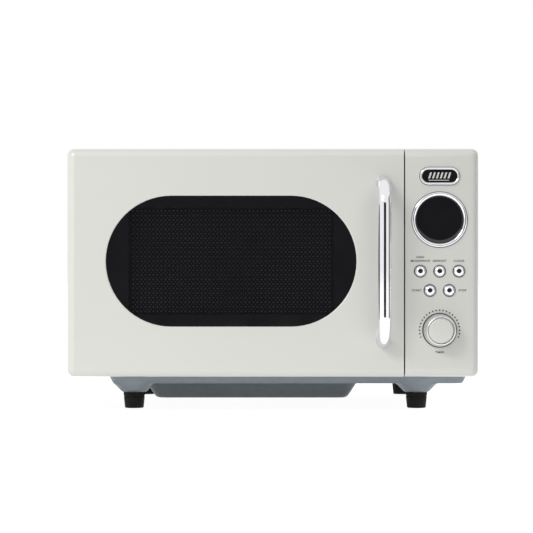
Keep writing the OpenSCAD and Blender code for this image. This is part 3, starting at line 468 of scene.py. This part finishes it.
def front_shell(bm, low, high, door, back, holes):
    """Closed shell of the door or the panel: outside, rim, inside, and a wall round each hole."""
    turn_r = back - HINGE.y
    inner_r = turn_r - SHELL_T

    def section(y, grow, seam, rear=0.0):
        return ring(bm, shell_loop(low, high, door, grow, seam, rear), y)

    def rear_turn(radius, grow):
        angles = [math.radians(a) for a in range(0, 91, 10)]
        return [section(HINGE.y + radius * math.sin(a), grow, grow, radius * (1 - math.cos(a)))
                for a in angles]

    outside = [section(FACE_Y + d, inset_at(d, EDGE_R), inset_at(d, SEAM_R))
               for d in reversed(depths())]
    inside = [section(FACE_Y + SHELL_T, SHELL_T, SHELL_T)]
    if door:
        outside += rear_turn(turn_r, 0)
        inside += rear_turn(inner_r, SHELL_T) + [section(back, SHELL_T, SHELL_T, inner_r)]
    else:
        outside.append(section(back, 0, 0))
        inside.append(section(back, SHELL_T, SHELL_T))
    stack(bm, outside)
    stack(bm, inside)
    bridge(bm, inside[-1], outside[-1])
    walls = [hole_wall(bm, outline, profile, FACE_Y) for outline, profile in holes]
    flat_face(bm, outside[0], [wall[0] for wall in walls])
    flat_face(bm, inside[0], [wall[-1] for wall in walls])


def cut_boxes(piece, boxes):
    """Cuts boxes, given by their corners, out of a closed piece."""
    bm = bmesh.new()
    for low, high in boxes:
        made = bmesh.ops.create_cube(bm, size=1)["verts"]
        for v in made:
            v.co = Vector([(a + b) / 2 + c * (b - a) for a, b, c in zip(low, high, v.co)])
    mesh = bpy.data.meshes.new("cutter")
    bm.to_mesh(mesh)
    bm.free()
    cutter = bpy.data.objects.new("cutter", mesh)
    scene.collection.objects.link(cutter)
    shading = piece.modifiers["flat_shading"]
    shading.show_viewport = False
    modifier = piece.modifiers.new("cut", "BOOLEAN")
    modifier.object = cutter
    modifier.solver = "EXACT"
    shaped = piece.evaluated_get(bpy.context.evaluated_depsgraph_get())
    result = bpy.data.meshes.new_from_object(shaped)
    piece.modifiers.remove(modifier)
    shading.show_viewport = True
    old = piece.data
    piece.data = result
    bpy.data.meshes.remove(old)
    bpy.data.objects.remove(cutter)
    bpy.data.meshes.remove(mesh)


PANE_LAP = 6 * MM                        # how far the pane reaches behind the shell all round
SEAT = 0.1 * MM                          # clearance round a piece in its recess


def stadium_of(node, inset=0.0):
    """Outline function of a node with half-round ends; a positive argument shrinks it."""
    low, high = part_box(node)
    centre = (low + high) / 2
    width, height = high.x - low.x - 2 * inset, high.z - low.z - 2 * inset
    return lambda g: stadium(centre.x, centre.z, width - 2 * g, height - 2 * g)


def hole_of(node, inset):
    """Outline function of a stadium hole over a node; a positive argument widens it."""
    shrink = stadium_of(node, inset)
    return lambda g: shrink(-g)


def round_hole(centre, radius):
    return lambda g: circle(centre.x, centre.z, radius + g)


def make_door():
    pane_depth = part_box("door_glass")[0].y - FACE_Y
    window = (hole_of("door_glass", PANE_LAP), lip(1.5 * MM, 1.0 * MM) + [
        (0, pane_depth), (PANE_LAP + SEAT, pane_depth), (PANE_LAP + SEAT, SHELL_T)])
    bm = bmesh.new()
    front_shell(bm, DOOR_LOW, DOOR_HIGH, True, DOOR_HIGH.y, [window])
    door = add_piece("door_shell", bm, FINISHES["enamel"], "door", ["door_skin"])
    cut_boxes(door, [ear_room(node) for node in ("hinge_upper", "hinge_lower")])


def ear_room(node):
    """Box that a hinge's ear sweeps through in the door's shell."""
    low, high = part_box(node)
    frame_low, frame_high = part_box("door_frame")
    ear_t, gap, room = 3 * MM, 1 * MM, 0.5 * MM
    upper = low.z > HINGE.z
    z0 = frame_high.z + gap - 0.4 * MM if upper else frame_low.z - gap - ear_t + 0.4 * MM
    reach = (high.y - low.y) / 2
    return ((DOOR_LOW.x - MM, HINGE.y - reach, z0 - room), (high.x + MM, DOOR_HIGH.y + MM, z0 + ear_t + room))


def make_panel():
    ring_low, ring_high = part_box("display_ring")
    display = node_middle("display_ring")
    flange, button_r, stem_r = 3 * MM, 6.2 * MM, 4 * MM
    wall = lip(0.3 * MM) + [(0, SHELL_T)]
    holes = [(round_hole(display, (ring_high.x - ring_low.x) / 2 - flange), wall)]
    holes += [(round_hole(node_middle(name), button_r), wall) for name in BUTTONS]
    holes.append((round_hole(pivot("knob_turn"), stem_r), wall))
    bm = bmesh.new()
    front_shell(bm, PANEL_LOW, PANEL_HIGH, False, PANEL_HIGH.y, holes)
    add_piece("panel_shell", bm, FINISHES["enamel"], "oven", ["control_panel"])


BUTTONS = ("button_power", "button_defrost", "button_clock", "button_start", "button_stop")
MESH_W, MESH_H = 217.6 * MM, 112 * MM    # perforated field
CELL_W, CELL_H = 4.3 * MM, 2.45 * MM     # one hole's cell; every second row is shifted by half a cell
HOLE_R = (1.1 * MM, 0.7 * MM)            # main holes, and those in the rows between


def field_box(grow=0.0):
    """Perforated field behind the pane: x0, x1, z0, z1."""
    centre = node_middle("door_screen")
    return (centre.x - MESH_W / 2 - grow, centre.x + MESH_W / 2 + grow,
            centre.z - MESH_H / 2 - grow, centre.z + MESH_H / 2 + grow)


def make_pane():
    """Glass with an opaque printed border round a tinted see-through field."""
    low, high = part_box("door_glass")
    outline = stadium_of("door_glass")
    field = rounded_rect(*field_box(1 * MM), [2 * MM] * 4, 5)
    bm = bmesh.new()
    rings = [ring(bm, outline(0.3 * MM), high.y), ring(bm, outline(0), high.y - 0.3 * MM)]
    rings += [ring(bm, outline(inset), low.y + depth) for inset, depth in round_over(0.5 * MM, 0.5 * MM)]
    stack(bm, rings)
    for loop in (rings[0], rings[-1]):
        inner = ring(bm, field, loop[0].co.y)
        flat_face(bm, loop, [inner])
        bm.faces.new(inner).material_index = 1
    add_piece("window_pane", bm, [FINISHES["black_glass"], TINTED], "door", ["door_glass"])


def cell(bm, x, z, y0, y1, radius):
    """Sheet around one round hole: eight quads in front, behind and in the hole's wall."""
    w, h = CELL_W / 2, CELL_H / 2
    rim = [(w, 0), (w, h), (0, h), (-w, h), (-w, 0), (-w, -h), (0, -h), (w, -h)]
    hole = [(radius * math.cos(a), radius * math.sin(a)) for a in [math.pi / 4 * i for i in range(8)]]
    outer = [[bm.verts.new((x + a, y, z + b)) for a, b in rim] for y in (y0, y1)]
    inner = [[bm.verts.new((x + a, y, z + b)) for a, b in hole] for y in (y0, y1)]
    stack(bm, [outer[0], inner[0], inner[1], outer[1]])


def make_screen():
    """Painted sheet with a staggered field of round holes behind the pane."""
    low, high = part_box("door_screen")
    columns, rows = int(MESH_W / CELL_W), int(MESH_H / CELL_H)
    centre = node_middle("door_screen")
    x0, z0 = centre.x - columns * CELL_W / 2, centre.z - rows * CELL_H / 2
    bm = bmesh.new()
    for row in range(rows):
        z = z0 + (row + 0.5) * CELL_H
        shift = row % 2
        for column in range(columns - shift):
            cell(bm, x0 + (column + 0.5 + shift / 2) * CELL_W, z, low.y, high.y, HOLE_R[shift])
        for x in ([x0, x0 + (columns - 0.5) * CELL_W] if shift else []):
            for y in (low.y, high.y):
                side = x + CELL_W / 2
                corners = [(x, -1), (side, -1), (side, 0), (side, 1), (x, 1), (x, 0)]
                bm.faces.new([bm.verts.new((a, y, z + b * CELL_H / 2)) for a, b in corners])
    x1, z1 = x0 + columns * CELL_W, z0 + rows * CELL_H
    field = rounded_rect(x0, x1, z0, z1, [0] * 4)
    edge = rounded_rect(low.x, high.x, low.z, high.z, [0] * 4)
    loops = ((field, low.y), (edge, low.y), (edge, high.y), (field, high.y))
    stack(bm, [ring(bm, loop, y) for loop, y in loops])
    add_piece("perforated_screen", bm, FINISHES["screen_steel"], "door", ["door_screen"])


def make_handle():
    """Bent bar on two feet that widen a little where they meet the door."""
    low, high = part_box("handle")
    r = (high.x - low.x) / 2
    x, z = (low.x + high.x) / 2, (low.z + high.z) / 2
    bend, steps = 26 * MM, 24
    flare = ((0, 0.6), (0.3, 0.9), (0.7, 0.95), (1.3, 0.5), (2.2, 0.15), (3.5, 0))
    y_bar, end = low.y + r, (high.z - low.z) / 2 - r
    path, radii = [], []
    for depth, grow in flare:
        path.append((Vector((x, high.y - depth * MM, z - end)), Vector((0, -1, 0))))
        radii.append(r + grow * MM)
    for i in range(steps + 1):
        a = math.pi / 2 * i / steps
        point = Vector((x, y_bar + bend - bend * math.sin(a), z - end + bend - bend * math.cos(a)))
        path.append((point, Vector((0, -math.cos(a), math.sin(a)))))
        radii.append(r)
    upper = [(Vector((p.x, p.y, 2 * z - p.z)), Vector((0, -d.y, d.z))) for p, d in reversed(path)]
    bm = bmesh.new()
    sweep(bm, path + upper, radii + radii[::-1])
    add_piece("handle_bar", bm, FINISHES["chrome"], "door", ["handle"], sharp=50)


# Depths in front of and behind the face over which outer faces are painted black, as painted shade of the gap
# round a piece
GAP_SHADE_FRONT, GAP_SHADE_BACK = 0.9 * MM, 0.2 * MM


def turned_piece(name, node, profile, finish, body, count=96, dark=None, sharp=40):
    """Lathe piece about the node's own axis along Y; profile is (radius, depth behind the face) in mm.

    Faces farther out than the radius dark and close to the panel are painted black: painted shade of the gap round
    the piece.
    """
    centre = node_middle(node)
    bm = bmesh.new()
    lathe(bm, (centre.x, FACE_Y, centre.z), (0, 1, 0), [(r * MM, d * MM) for r, d in profile], count)
    finishes = [finish]
    if dark:
        finishes.append(FINISHES["black_plastic"])
        blacken(bm, centre, dark)
    return add_piece(name, bm, finishes, body, [node], sharp)


def blacken(bm, centre, radius):
    # Paints the outer faces near the panel black: painted shade of the gap round the piece
    for face in bm.faces:
        middle = face.calc_center_median()
        out = math.hypot(middle.x - centre.x, middle.z - centre.z)
        if out > radius * MM and FACE_Y - GAP_SHADE_FRONT < middle.y < FACE_Y + GAP_SHADE_BACK:
            face.material_index = 1


def make_display():
    bezel = [(25.5, 1.6), (25.5, -0.3), (25.7, -0.9), (26.2, -1.45), (26.9, -1.8), (27.7, -2.0),
             (28.4, -1.95), (28.9, -1.7), (29.3, -1.3), (29.45, -0.8), (29.5, -0.4), (30.0, -0.35),
             (30.0, 0), (26.9, 0), (26.9, 2.5), (24, 2.5), (24, 1.6), (25.5, 1.6)]
    # The bezel's outer flank near the panel is painted black: painted shade of the gap round it
    turned_piece("display_bezel", "display_ring", bezel, FINISHES["chrome"], "oven", dark=29.4)
    lens = [(0, 0.1), (18, 0.13), (22, 0.2), (24.6, 0.4), (25.2, 0.65), (25.4, 1.0), (25.4, 1.6), (0, 1.6)]
    turned_piece("display_window", "display_lens", lens, FINISHES["black_glass"], "oven")


def make_badge():
    """Chrome frame with half-round ends around a black plate with a plain ornament of leaning bars."""
    section = [(0, 0), (0, -0.4), (0.45, -0.45), (0.5, -1.5), (0.7, -2.0), (1.1, -2.35), (1.6, -2.5),
               (2.2, -2.35), (2.7, -1.95), (3, -1.3), (3, 0)]
    gap_shade, bars, pitch = 0.43 * MM, 6, 4.1 * MM
    bm = bmesh.new()
    band(bm, stadium_of("badge_rim"), [(i * MM, FACE_Y + d * MM) for i, d in section])
    # Faces of the frame close to the panel are black: painted shade of the gap round the frame
    for face in bm.faces:
        face.material_index = int(face.calc_center_median().y > FACE_Y - gap_shade)
    add_piece("badge_frame", bm, CHROME_AND_BLACK, "oven", ["badge_rim"])
    low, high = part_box("badge_plate")
    bm = bmesh.new()
    plate(bm, stadium_of("badge_plate"), low.y, FACE_Y, 0.3 * MM)
    add_piece("badge_field", bm, FINISHES["black_glass"], "oven", ["badge_plate"])
    centre = node_middle("badge_plate")
    bm = bmesh.new()
    for i in range(bars):
        slanted_bar(bm, centre.x + (i - (bars - 1) / 2) * pitch, centre.z, low.y)
    underline = ((-12, -4.9), (10, -4.9), (10.3, -4.2), (-11.7, -4.2))
    relief(bm, [(centre.x + x * MM, centre.z + z * MM) for x, z in underline], low.y)
    add_piece("badge_ornament", bm, FINISHES["enamel"], "oven", sharp=5)


def slanted_bar(bm, x, z, y):
    """Bar that leans to the right, a little above the middle z."""
    lean, half_w, half_h, rise = 1.1 * MM, 1.0 * MM, 3.3 * MM, 0.6 * MM
    low, high = z + rise - half_h, z + rise + half_h
    relief(bm, [(x - lean - half_w, low), (x - lean + half_w, low),
                (x + lean + half_w, high), (x + lean - half_w, high)], y)


def relief(bm, corners, y):
    """Low relief with sloping sides on a plate's face at y."""
    narrow, short, height = 0.85, 0.93, 0.3 * MM
    cx = sum(c[0] for c in corners) / len(corners)
    cz = sum(c[1] for c in corners) / len(corners)
    top = [(cx + (x - cx) * narrow, cz + (z - cz) * short) for x, z in corners]
    tube(bm, [ring(bm, corners, y + PRINT_SINK), ring(bm, top, y - height)])


def make_buttons():
    """Chrome caps, dished round a flat middle, and one piece with the five collars."""
    cap = [(0, -3.0), (2.3, -3.0), (2.6, -2.99), (2.75, -2.96), (3.0, -2.88), (3.7, -2.6), (4.4, -2.25),
           (4.9, -1.85), (5.2, -1.35), (5.42, -0.85), (5.5, -0.4), (5.5, 2.6), (6.2, 2.6), (6.2, 3.6),
           (2, 3.6), (2, 10), (0, 10)]
    collar = [(5.6, 2.5), (5.6, -0.5), (5.7, -0.7), (5.9, -0.8), (6.15, -0.8), (6.35, -0.65),
              (6.4, -0.4), (6.75, -0.35), (6.85, -0.2), (6.85, 0), (6.2, 0), (6.2, 2.5), (5.6, 2.5)]
    gap_shade_r, facets = 5.9 * MM, 64
    bodies = frame["record"]["behaviour"]["bodies"]
    bm = bmesh.new()
    for node in BUTTONS:
        body = next(b for b, nodes in bodies.items() if node in nodes)
        turned_piece(node + "_cap", node, cap, FINISHES["chrome"], body, facets)
        centre = node_middle(node)
        start = len(bm.faces)
        lathe(bm, (centre.x, FACE_Y, centre.z), (0, 1, 0), [(r * MM, d * MM) for r, d in collar], facets)
        bm.faces.ensure_lookup_table()
        # Collar faces farther out than the chrome lip are black: painted shade of the gap round each collar
        for face in bm.faces[start:]:
            spot = face.calc_center_median()
            face.material_index = int(math.hypot(spot.x - centre.x, spot.z - centre.z) > gap_shade_r)
    add_piece("button_collars", bm, CHROME_AND_BLACK, "oven", ["button_rings"])


def make_knob():
    """Satin cup with a cream disc in its front; its stem runs in the encoder."""
    profile = [(0, 13.5), (3, 13.5), (3, -1.5), (6.5, -1.5), (6.5, -13), (12.5, -13), (15.5, -0.6),
               (18.5, -0.6), (18.5, -0.95), (17.6, -1.0), (17.55, -2.0), (17.4, -4.5), (17.05, -8.5),
               (16.5, -12.6), (16.0, -15.4), (15.7, -17.2), (15.3, -18.2), (14.8, -18.8), (14.3, -19.0),
               (13.95, -18.8), (13.9, -18.4), (13.9, -17.0), (0, -17.0)]
    facets = 128
    cup = turned_piece("knob_cup", "knob", profile, SATIN, "timer_knob", facets)
    cup.data.materials.append(FINISHES["black_plastic"])
    axis = node_middle("knob")
    # Black faces at the cup's rim by the panel and in the groove round the disc are painted shade of the gaps
    # there
    for face in cup.data.polygons:
        depth = (face.center.y - FACE_Y) / MM
        away = math.hypot(face.center.x - axis.x, face.center.z - axis.z) / MM
        gap_shade = -1.1 < depth < 0
        shaded_groove = 13 < away < 14.3 and -18.95 < depth < -17.2
        face.material_index = int(gap_shade or shaded_groove)
    disc = [(0, -19.25), (9, -19.2), (12.0, -19.1), (12.9, -18.85), (13.2, -18.5), (13.3, -18.0),
            (13.3, -17.0), (0, -17.0)]
    turned_piece("knob_disc", "knob_face", disc, FINISHES["enamel"], "timer_knob", facets)


def make_latch_coil():
    """Spring on the latch, with a closed turn at each end."""
    low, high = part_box("latch_spring")
    centre, wire, lift = (low + high) / 2, 0.45 * MM, Vector((0, 0, 1))
    coil_r, height = (high.x - low.x) / 2 - wire, high.z - low.z - 2 * wire
    turns, steps, facets, closed = 5, 32, 10, 2.1 * wire
    bm, rings = bmesh.new(), []
    for i in range(turns * steps + 1):
        t = i / steps
        inner = closed + (height - 2 * closed) * (t - 1) / (turns - 2)
        rise = closed * t if t < 1 else height - closed * (turns - t) if t > turns - 1 else inner
        out = Vector((math.cos(2 * math.pi * t), math.sin(2 * math.pi * t), 0))
        point = Vector((centre.x, centre.y, low.z + wire + rise)) + out * coil_r
        rings.append(round_section(bm, point, out, lift, wire, facets))
    tube(bm, rings)
    finish = FINISHES["zinc_steel"]
    coil = add_piece("latch_coil", bm, finish, "door", ["latch_spring"], sharp=60)
    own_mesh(coil)


# ---------------------------------------------------------------- print on the panel

PRINT_H = 0.04 * MM                      # height of the print above the paint
DOT_R = 0.88 * MM                        # a dot of the knob's scale
FIRST_MARK_R = 1.2 * MM                  # the triangle at its start
DOT_RING_R = 21.4 * MM                   # radius of the knob's scale
CAPITAL = 0.7                            # height of a capital letter for a font size of 1


def make_dial_marks():
    """Dots at 10 degree steps round the knob; the lower left one is a triangle."""
    centre = pivot("knob_turn")
    bm = bmesh.new()
    for step in range(-11, 12):
        a = math.radians(90 - 10 * step)
        x, z = centre.x + DOT_RING_R * math.cos(a), centre.z + DOT_RING_R * math.sin(a)
        if step > -11:
            printed(bm, circle(x, z, DOT_R, 20))
        else:
            printed(bm, arc(x, z, FIRST_MARK_R, math.degrees(a), math.degrees(a) + 240, 3))
    add_piece("knob_scale", bm, INK, "oven", sharp=30)


def printed(bm, loop):
    """Thin raised print of one closed loop on the panel's face."""
    tube(bm, [ring(bm, loop, FACE_Y + PRINT_SINK), ring(bm, loop, FACE_Y - PRINT_H)])


def make_label(name, words, x, z, height):
    """Generic word in thin print, centred on x and z."""
    curve = bpy.data.curves.new(name + "_text", "FONT")
    curve.body = words
    curve.size = height / CAPITAL
    curve.align_x, curve.align_y = "CENTER", "CENTER"
    curve.extrude = 0.5
    curve.resolution_u = 4
    curve.space_character = 1.15
    curve.offset = 0.03 * curve.size
    text = bpy.data.objects.new(name + "_text", curve)
    scene.collection.objects.link(text)
    shaped = text.evaluated_get(bpy.context.evaluated_depsgraph_get())
    mesh = bpy.data.meshes.new_from_object(shaped)
    bm = bmesh.new()
    bm.from_mesh(mesh)
    for v in bm.verts:
        v.co = Vector((x + v.co.x, FACE_Y - PRINT_H / 2 + v.co.z * PRINT_H, z + v.co.y))
    bpy.data.objects.remove(text)
    bpy.data.curves.remove(curve)
    bpy.data.meshes.remove(mesh)
    add_piece(name, bm, INK, "oven", sharp=30)


def make_labels():
    height = 2.2 * MM
    power, defrost, clock, start, stop = (node_middle(name) for name in BUTTONS)
    above, beside, line, below = 10.9 * MM, 14.1 * MM, 4 * MM, 23.6 * MM
    make_label("label_power_top", "HIGH", power.x, power.z + above + line, height)
    make_label("label_power", "MICROWAVE", power.x, power.z + above, height)
    make_label("label_defrost", "DEFROST", defrost.x, defrost.z + above, height)
    make_label("label_clock", "CLOCK", clock.x, clock.z + above, height)
    make_label("label_start", "START", start.x - beside, start.z, height)
    make_label("label_stop", "STOP", stop.x + beside, stop.z, height)
    knob = pivot("knob_turn")
    make_label("label_timer", "TIMER", knob.x, knob.z - below, height)


# ---------------------------------------------------------------- case, underside and feet

# Darker copy of the stamped steel's colour for the pan: painted shade in the recess under the oven, on the same
# metal as the tray
PAN_SHADE_COLOR = (0.105, 0.122, 0.13)
FOOT_R = 11.85 * MM                      # a foot's collar
TRAY_LEFT = -181 * MM                    # left edge of the stamped tray
TRAY_Z = 27.5 * MM                       # its underside
PAN_REACH = (105.5 * MM, 136 * MM, 106 * MM)   # the pan, left, right, and to the front and back of its middle


def smooth_step(t):
    t = min(max(t, 0.0), 1.0)
    return t * t * (3 - 2 * t)


def inside_depth(x, y, box, r):
    """How far a point lies inside a level rounded rectangle; negative outside."""
    cx, cy = (box[0] + box[1]) / 2, (box[2] + box[3]) / 2
    dx = abs(x - cx) - (box[1] - box[0]) / 2 + r
    dy = abs(y - cy) - (box[3] - box[2]) / 2 + r
    return r - math.hypot(max(dx, 0), max(dy, 0)) - min(max(dx, dy), 0)


def soft_min(a, b, blend):
    h = max(blend - abs(a - b), 0) / blend
    return min(a, b) - h * h * blend / 4


def base_height(x, y, tray, pan, feet_at, levels):
    """Height of the stamped sheet's underside; levels are flange, tray, pan and foot."""
    flange, tray_z, pan_z, foot_z = levels
    pan_corner, pan_wall, tray_corner, tray_wall = 26 * MM, 17 * MM, 16 * MM, 7 * MM
    boss_r, boss_slope, blend = 13.5 * MM, 1.05, 4 * MM
    z = tray_z - (tray_z - pan_z) * smooth_step(inside_depth(x, y, pan, pan_corner) / pan_wall)
    for fx, fy in feet_at:
        out = math.hypot(x - fx, y - fy) - boss_r
        z = soft_min(z, foot_z + boss_slope * max(out, 0), blend)
    return flange - (flange - z) * smooth_step(inside_depth(x, y, tray, tray_corner) / tray_wall)


def feet_places():
    low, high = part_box("feet")
    return [(x, y) for x in (low.x + FOOT_R, high.x - FOOT_R) for y in (low.y + FOOT_R, high.y - FOOT_R)]


def make_base():
    """Stamped base: tray, central pan and foot bosses drawn out of one sheet."""
    low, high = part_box("base_plate")
    feet_at = feet_places()
    tray = (TRAY_LEFT, high.x - 2 * MM, low.y + 1 * MM, high.y - 2 * MM)
    cover = node_middle("motor_cover")
    to_left, to_right, to_side = PAN_REACH
    pan = (cover.x - to_left, cover.x + to_right, cover.y - to_side, cover.y + to_side)
    levels = (high.z - MM, TRAY_Z, low.z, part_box("feet")[1].z)
    columns, rows = 216, 144
    xs = [low.x + (high.x - low.x) * i / columns for i in range(columns + 1)]
    ys = [low.y + (high.y - low.y) * j / rows for j in range(rows + 1)]
    bm = bmesh.new()
    layers = []
    for lift in (0, MM):
        layer = [[bm.verts.new((x, y, base_height(x, y, tray, pan, feet_at, levels) + lift)) for x in xs]
                 for y in ys]
        layers.append(layer)
        for j in range(rows):
            for i in range(columns):
                bm.faces.new([layer[j][i], layer[j][i + 1], layer[j + 1][i + 1], layer[j + 1][i]])
    rims = [layer[0] + [row[-1] for row in layer[1:]] + layer[-1][-2::-1] + [row[0] for row in layer[-2:0:-1]]
            for layer in layers]
    bridge(bm, *rims)
    # The second finish is the darker copy of the steel: painted shade for the pan's faces
    finish = [FINISHES["stamped_steel"], stamped_steel("pan_steel_painted_shade", PAN_SHADE_COLOR)]
    base = add_piece("stamped_base", bm, finish, "oven", ["base_plate"], sharp=60)
    # Faces deep inside the pan take the painted shade
    for face in base.data.polygons:
        x, y, z = face.center
        deep = z < TRAY_Z - 0.5 * MM
        face.material_index = int(deep and pan[0] < x < pan[1] and pan[2] < y < pan[3])


def make_feet():
    """Rubber feet: tapered, with a groove near the top and a hollow for the screw."""
    profile = [(0, 3.6), (4.5, 3.6), (4.5, 0.2), (4.8, 0), (9.6, 0), (10.1, 0.25), (10.3, 0.7),
               (11.4, 11.4), (11.5, 12.0), (11.2, 12.5), (11.1, 13.1), (11.3, 13.6), (11.85, 14.0),
               (11.85, 17.1), (11.6, 17.5), (0, 17.5)]
    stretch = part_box("feet")[1].z / profile[-1][1]
    bm = bmesh.new()
    for x, y in feet_places():
        lathe(bm, (x, y, 0), (0, 0, 1), [(r * MM, z * stretch) for r, z in profile], 64)
    add_piece("rubber_feet", bm, FINISHES["rubber"], "oven", ["feet"])


def dress(node, finish, bevel):
    """Shows a CAD node itself, with a finish and lightly rounded edges, bevel mm wide."""
    piece = frame["nodes"][node]
    piece.data.materials.clear()
    piece.data.materials.append(FINISHES[finish])
    if bevel:
        weld = piece.modifiers.new("weld", "WELD")
        weld.merge_threshold = 1e-6
        rounding = piece.modifiers.new("rounding", "BEVEL")
        rounding.width = bevel * MM
        rounding.segments = 2
        rounding.limit_method = "ANGLE"
        rounding.angle_limit = math.radians(40)
        rounding.harden_normals = False


DRESSED = {
    "enamel": ("cabinet",),
    "stamped_steel": ("motor_cover",),
    "zinc_steel": ("rear_panel", "front_frame", "case_screws", "waveguide", "magnetron_yoke",
                   "capacitor_clamp", "hinge_upper", "hinge_lower", "door_frame", "door_screws",
                   "turntable_motor", "encoder", "fan_motor"),
    "oven_enamel": ("cavity",),
    "iron": ("transformer_core",),
    "copper": ("transformer_windings", "magnetron_anode"),
    "can_aluminium": ("capacitor",),
    "black_plastic": ("cord_gland", "fan_shroud", "hv_diode", "safety_switches", "board_parts",
                      "choke_cover"),
    "white_plastic": ("latch_board", "door_latch", "coupler", "roller_ring", "roller_1", "roller_2",
                      "roller_3", "fan_blade"),
    "circuit_board": ("control_board", "filter_board"),
    "mica": ("waveguide_cover",),
    "clear_film": ("inner_film",),
    "tray_glass": ("glass_tray",),
    "lamp_glass": ("lamp",),
}
BEVELS = {
    "cabinet": 0.3, "transformer_windings": 3.0, "transformer_core": 0.6, "capacitor": 0.8,
    "turntable_motor": 0.6, "board_parts": 0.4, "safety_switches": 0.5, "door_latch": 0.4,
    "fan_motor": 0.8, "encoder": 0.2,
}


def dress_frame():
    for finish, nodes in DRESSED.items():
        for node in nodes:
            dress(node, finish, BEVELS.get(node, 0.0))


# ---------------------------------------------------------------- studio

FACE_SPAN = 568.6 * MM                   # width seen at the door's face
DISTANCE = 2.1                           # from the camera to the door's face
CAMERA_X, CAMERA_Z = -6.7 * MM, 155 * MM
SENSOR = 36.0


def make_camera():
    data = bpy.data.cameras.new("camera")
    data.sensor_width = SENSOR
    data.lens = SENSOR * DISTANCE / FACE_SPAN
    camera = bpy.data.objects.new("camera", data)
    camera.location = (CAMERA_X, FACE_Y - DISTANCE, CAMERA_Z)
    camera.rotation_euler = (math.pi / 2, 0, 0)
    scene.collection.objects.link(camera)
    scene.camera = camera
    data.clip_end = 50


def studio_paint(name, color, strength=0.0):
    paint = Paint(name, color, 0.85)
    if strength:
        paint.set("Emission Color", (*color, 1.0))
        paint.set("Emission Strength", strength)
    return paint


def upright_card(x, y0, y1, z):
    """Corners of a card at the right, between two depths."""
    return [(x, y0, 0), (x, y1, 0), (x, y1, z), (x, y0, z)]


def level_card(x0, x1, y0, y1, z):
    return [(x0, y0, z), (x1, y0, z), (x1, y1, z), (x0, y1, z)]


def make_floor():
    half, z = 14.0, -0.5 * MM
    paint = studio_paint("floor_paint", (0.3, 0.3, 0.3), 3.1).vary_color(3, 0.01)
    add_sheet("floor", level_card(-half, half, -half, half, z), paint)


def area_light(name, place, target, size, power):
    data = bpy.data.lights.new(name, "AREA")
    data.shape = "RECTANGLE"
    data.size, data.size_y = size
    data.energy = power
    light = bpy.data.objects.new(name, data)
    light.location = place
    light.rotation_euler = (Vector(target) - Vector(place)).to_track_quat("-Z", "Y").to_euler()
    scene.collection.objects.link(light)


def make_world():
    world = bpy.data.worlds.new("studio")
    world.use_nodes = True
    background = world.node_tree.nodes["Background"]
    background.inputs["Color"].default_value = (1, 1, 1, 1)
    background.inputs["Strength"].default_value = 1.0
    scene.world = world


def card(name, corners, shade, glossy, diffuse):
    """Card out of the camera's sight: chrome and glass show it, or it keeps light off."""
    paint = studio_paint(name + "_paint", (shade, shade, shade)).vary_color(5, 0.1)
    sheet = add_sheet(name, corners, paint)
    sheet.visible_camera = False
    sheet.visible_glossy = glossy
    sheet.visible_diffuse = diffuse
    sheet.visible_shadow = diffuse


def make_cards():
    left, right, far, top = -0.75, 1.1, -2.62, 1.0
    behind_camera = [(left, far, 0), (right, far, 0), (right, far, top), (left, far, top)]
    card("card_back", behind_camera, 0.004, True, False)
    card("card_flank", upright_card(1.7, -0.8, 0.1, 1.0), 0.15, True, False)
    card("card_side", upright_card(0.42, -0.6, -0.2, 0.5), 0.03, False, True)
    card("card_under", level_card(-0.2, 0.16, -0.12, 0.16, 0.002), 0.08, False, True)


def make_lights():
    place, target, size, watts = (-2.2, -2.8, 2.3), (0, 0, 0.15), (1.6, 1.2), 62
    area_light("key", place, target, size, watts)


def set_view():
    scene.view_settings.view_transform = "Standard"
    scene.view_settings.look = "None"


make_door()
make_panel()
make_pane()
make_screen()
make_handle()
make_display()
make_badge()
make_buttons()
make_knob()
make_latch_coil()
make_dial_marks()
make_labels()
make_base()
make_feet()
dress_frame()
make_camera()
make_floor()
make_world()
make_lights()
make_cards()
set_view()
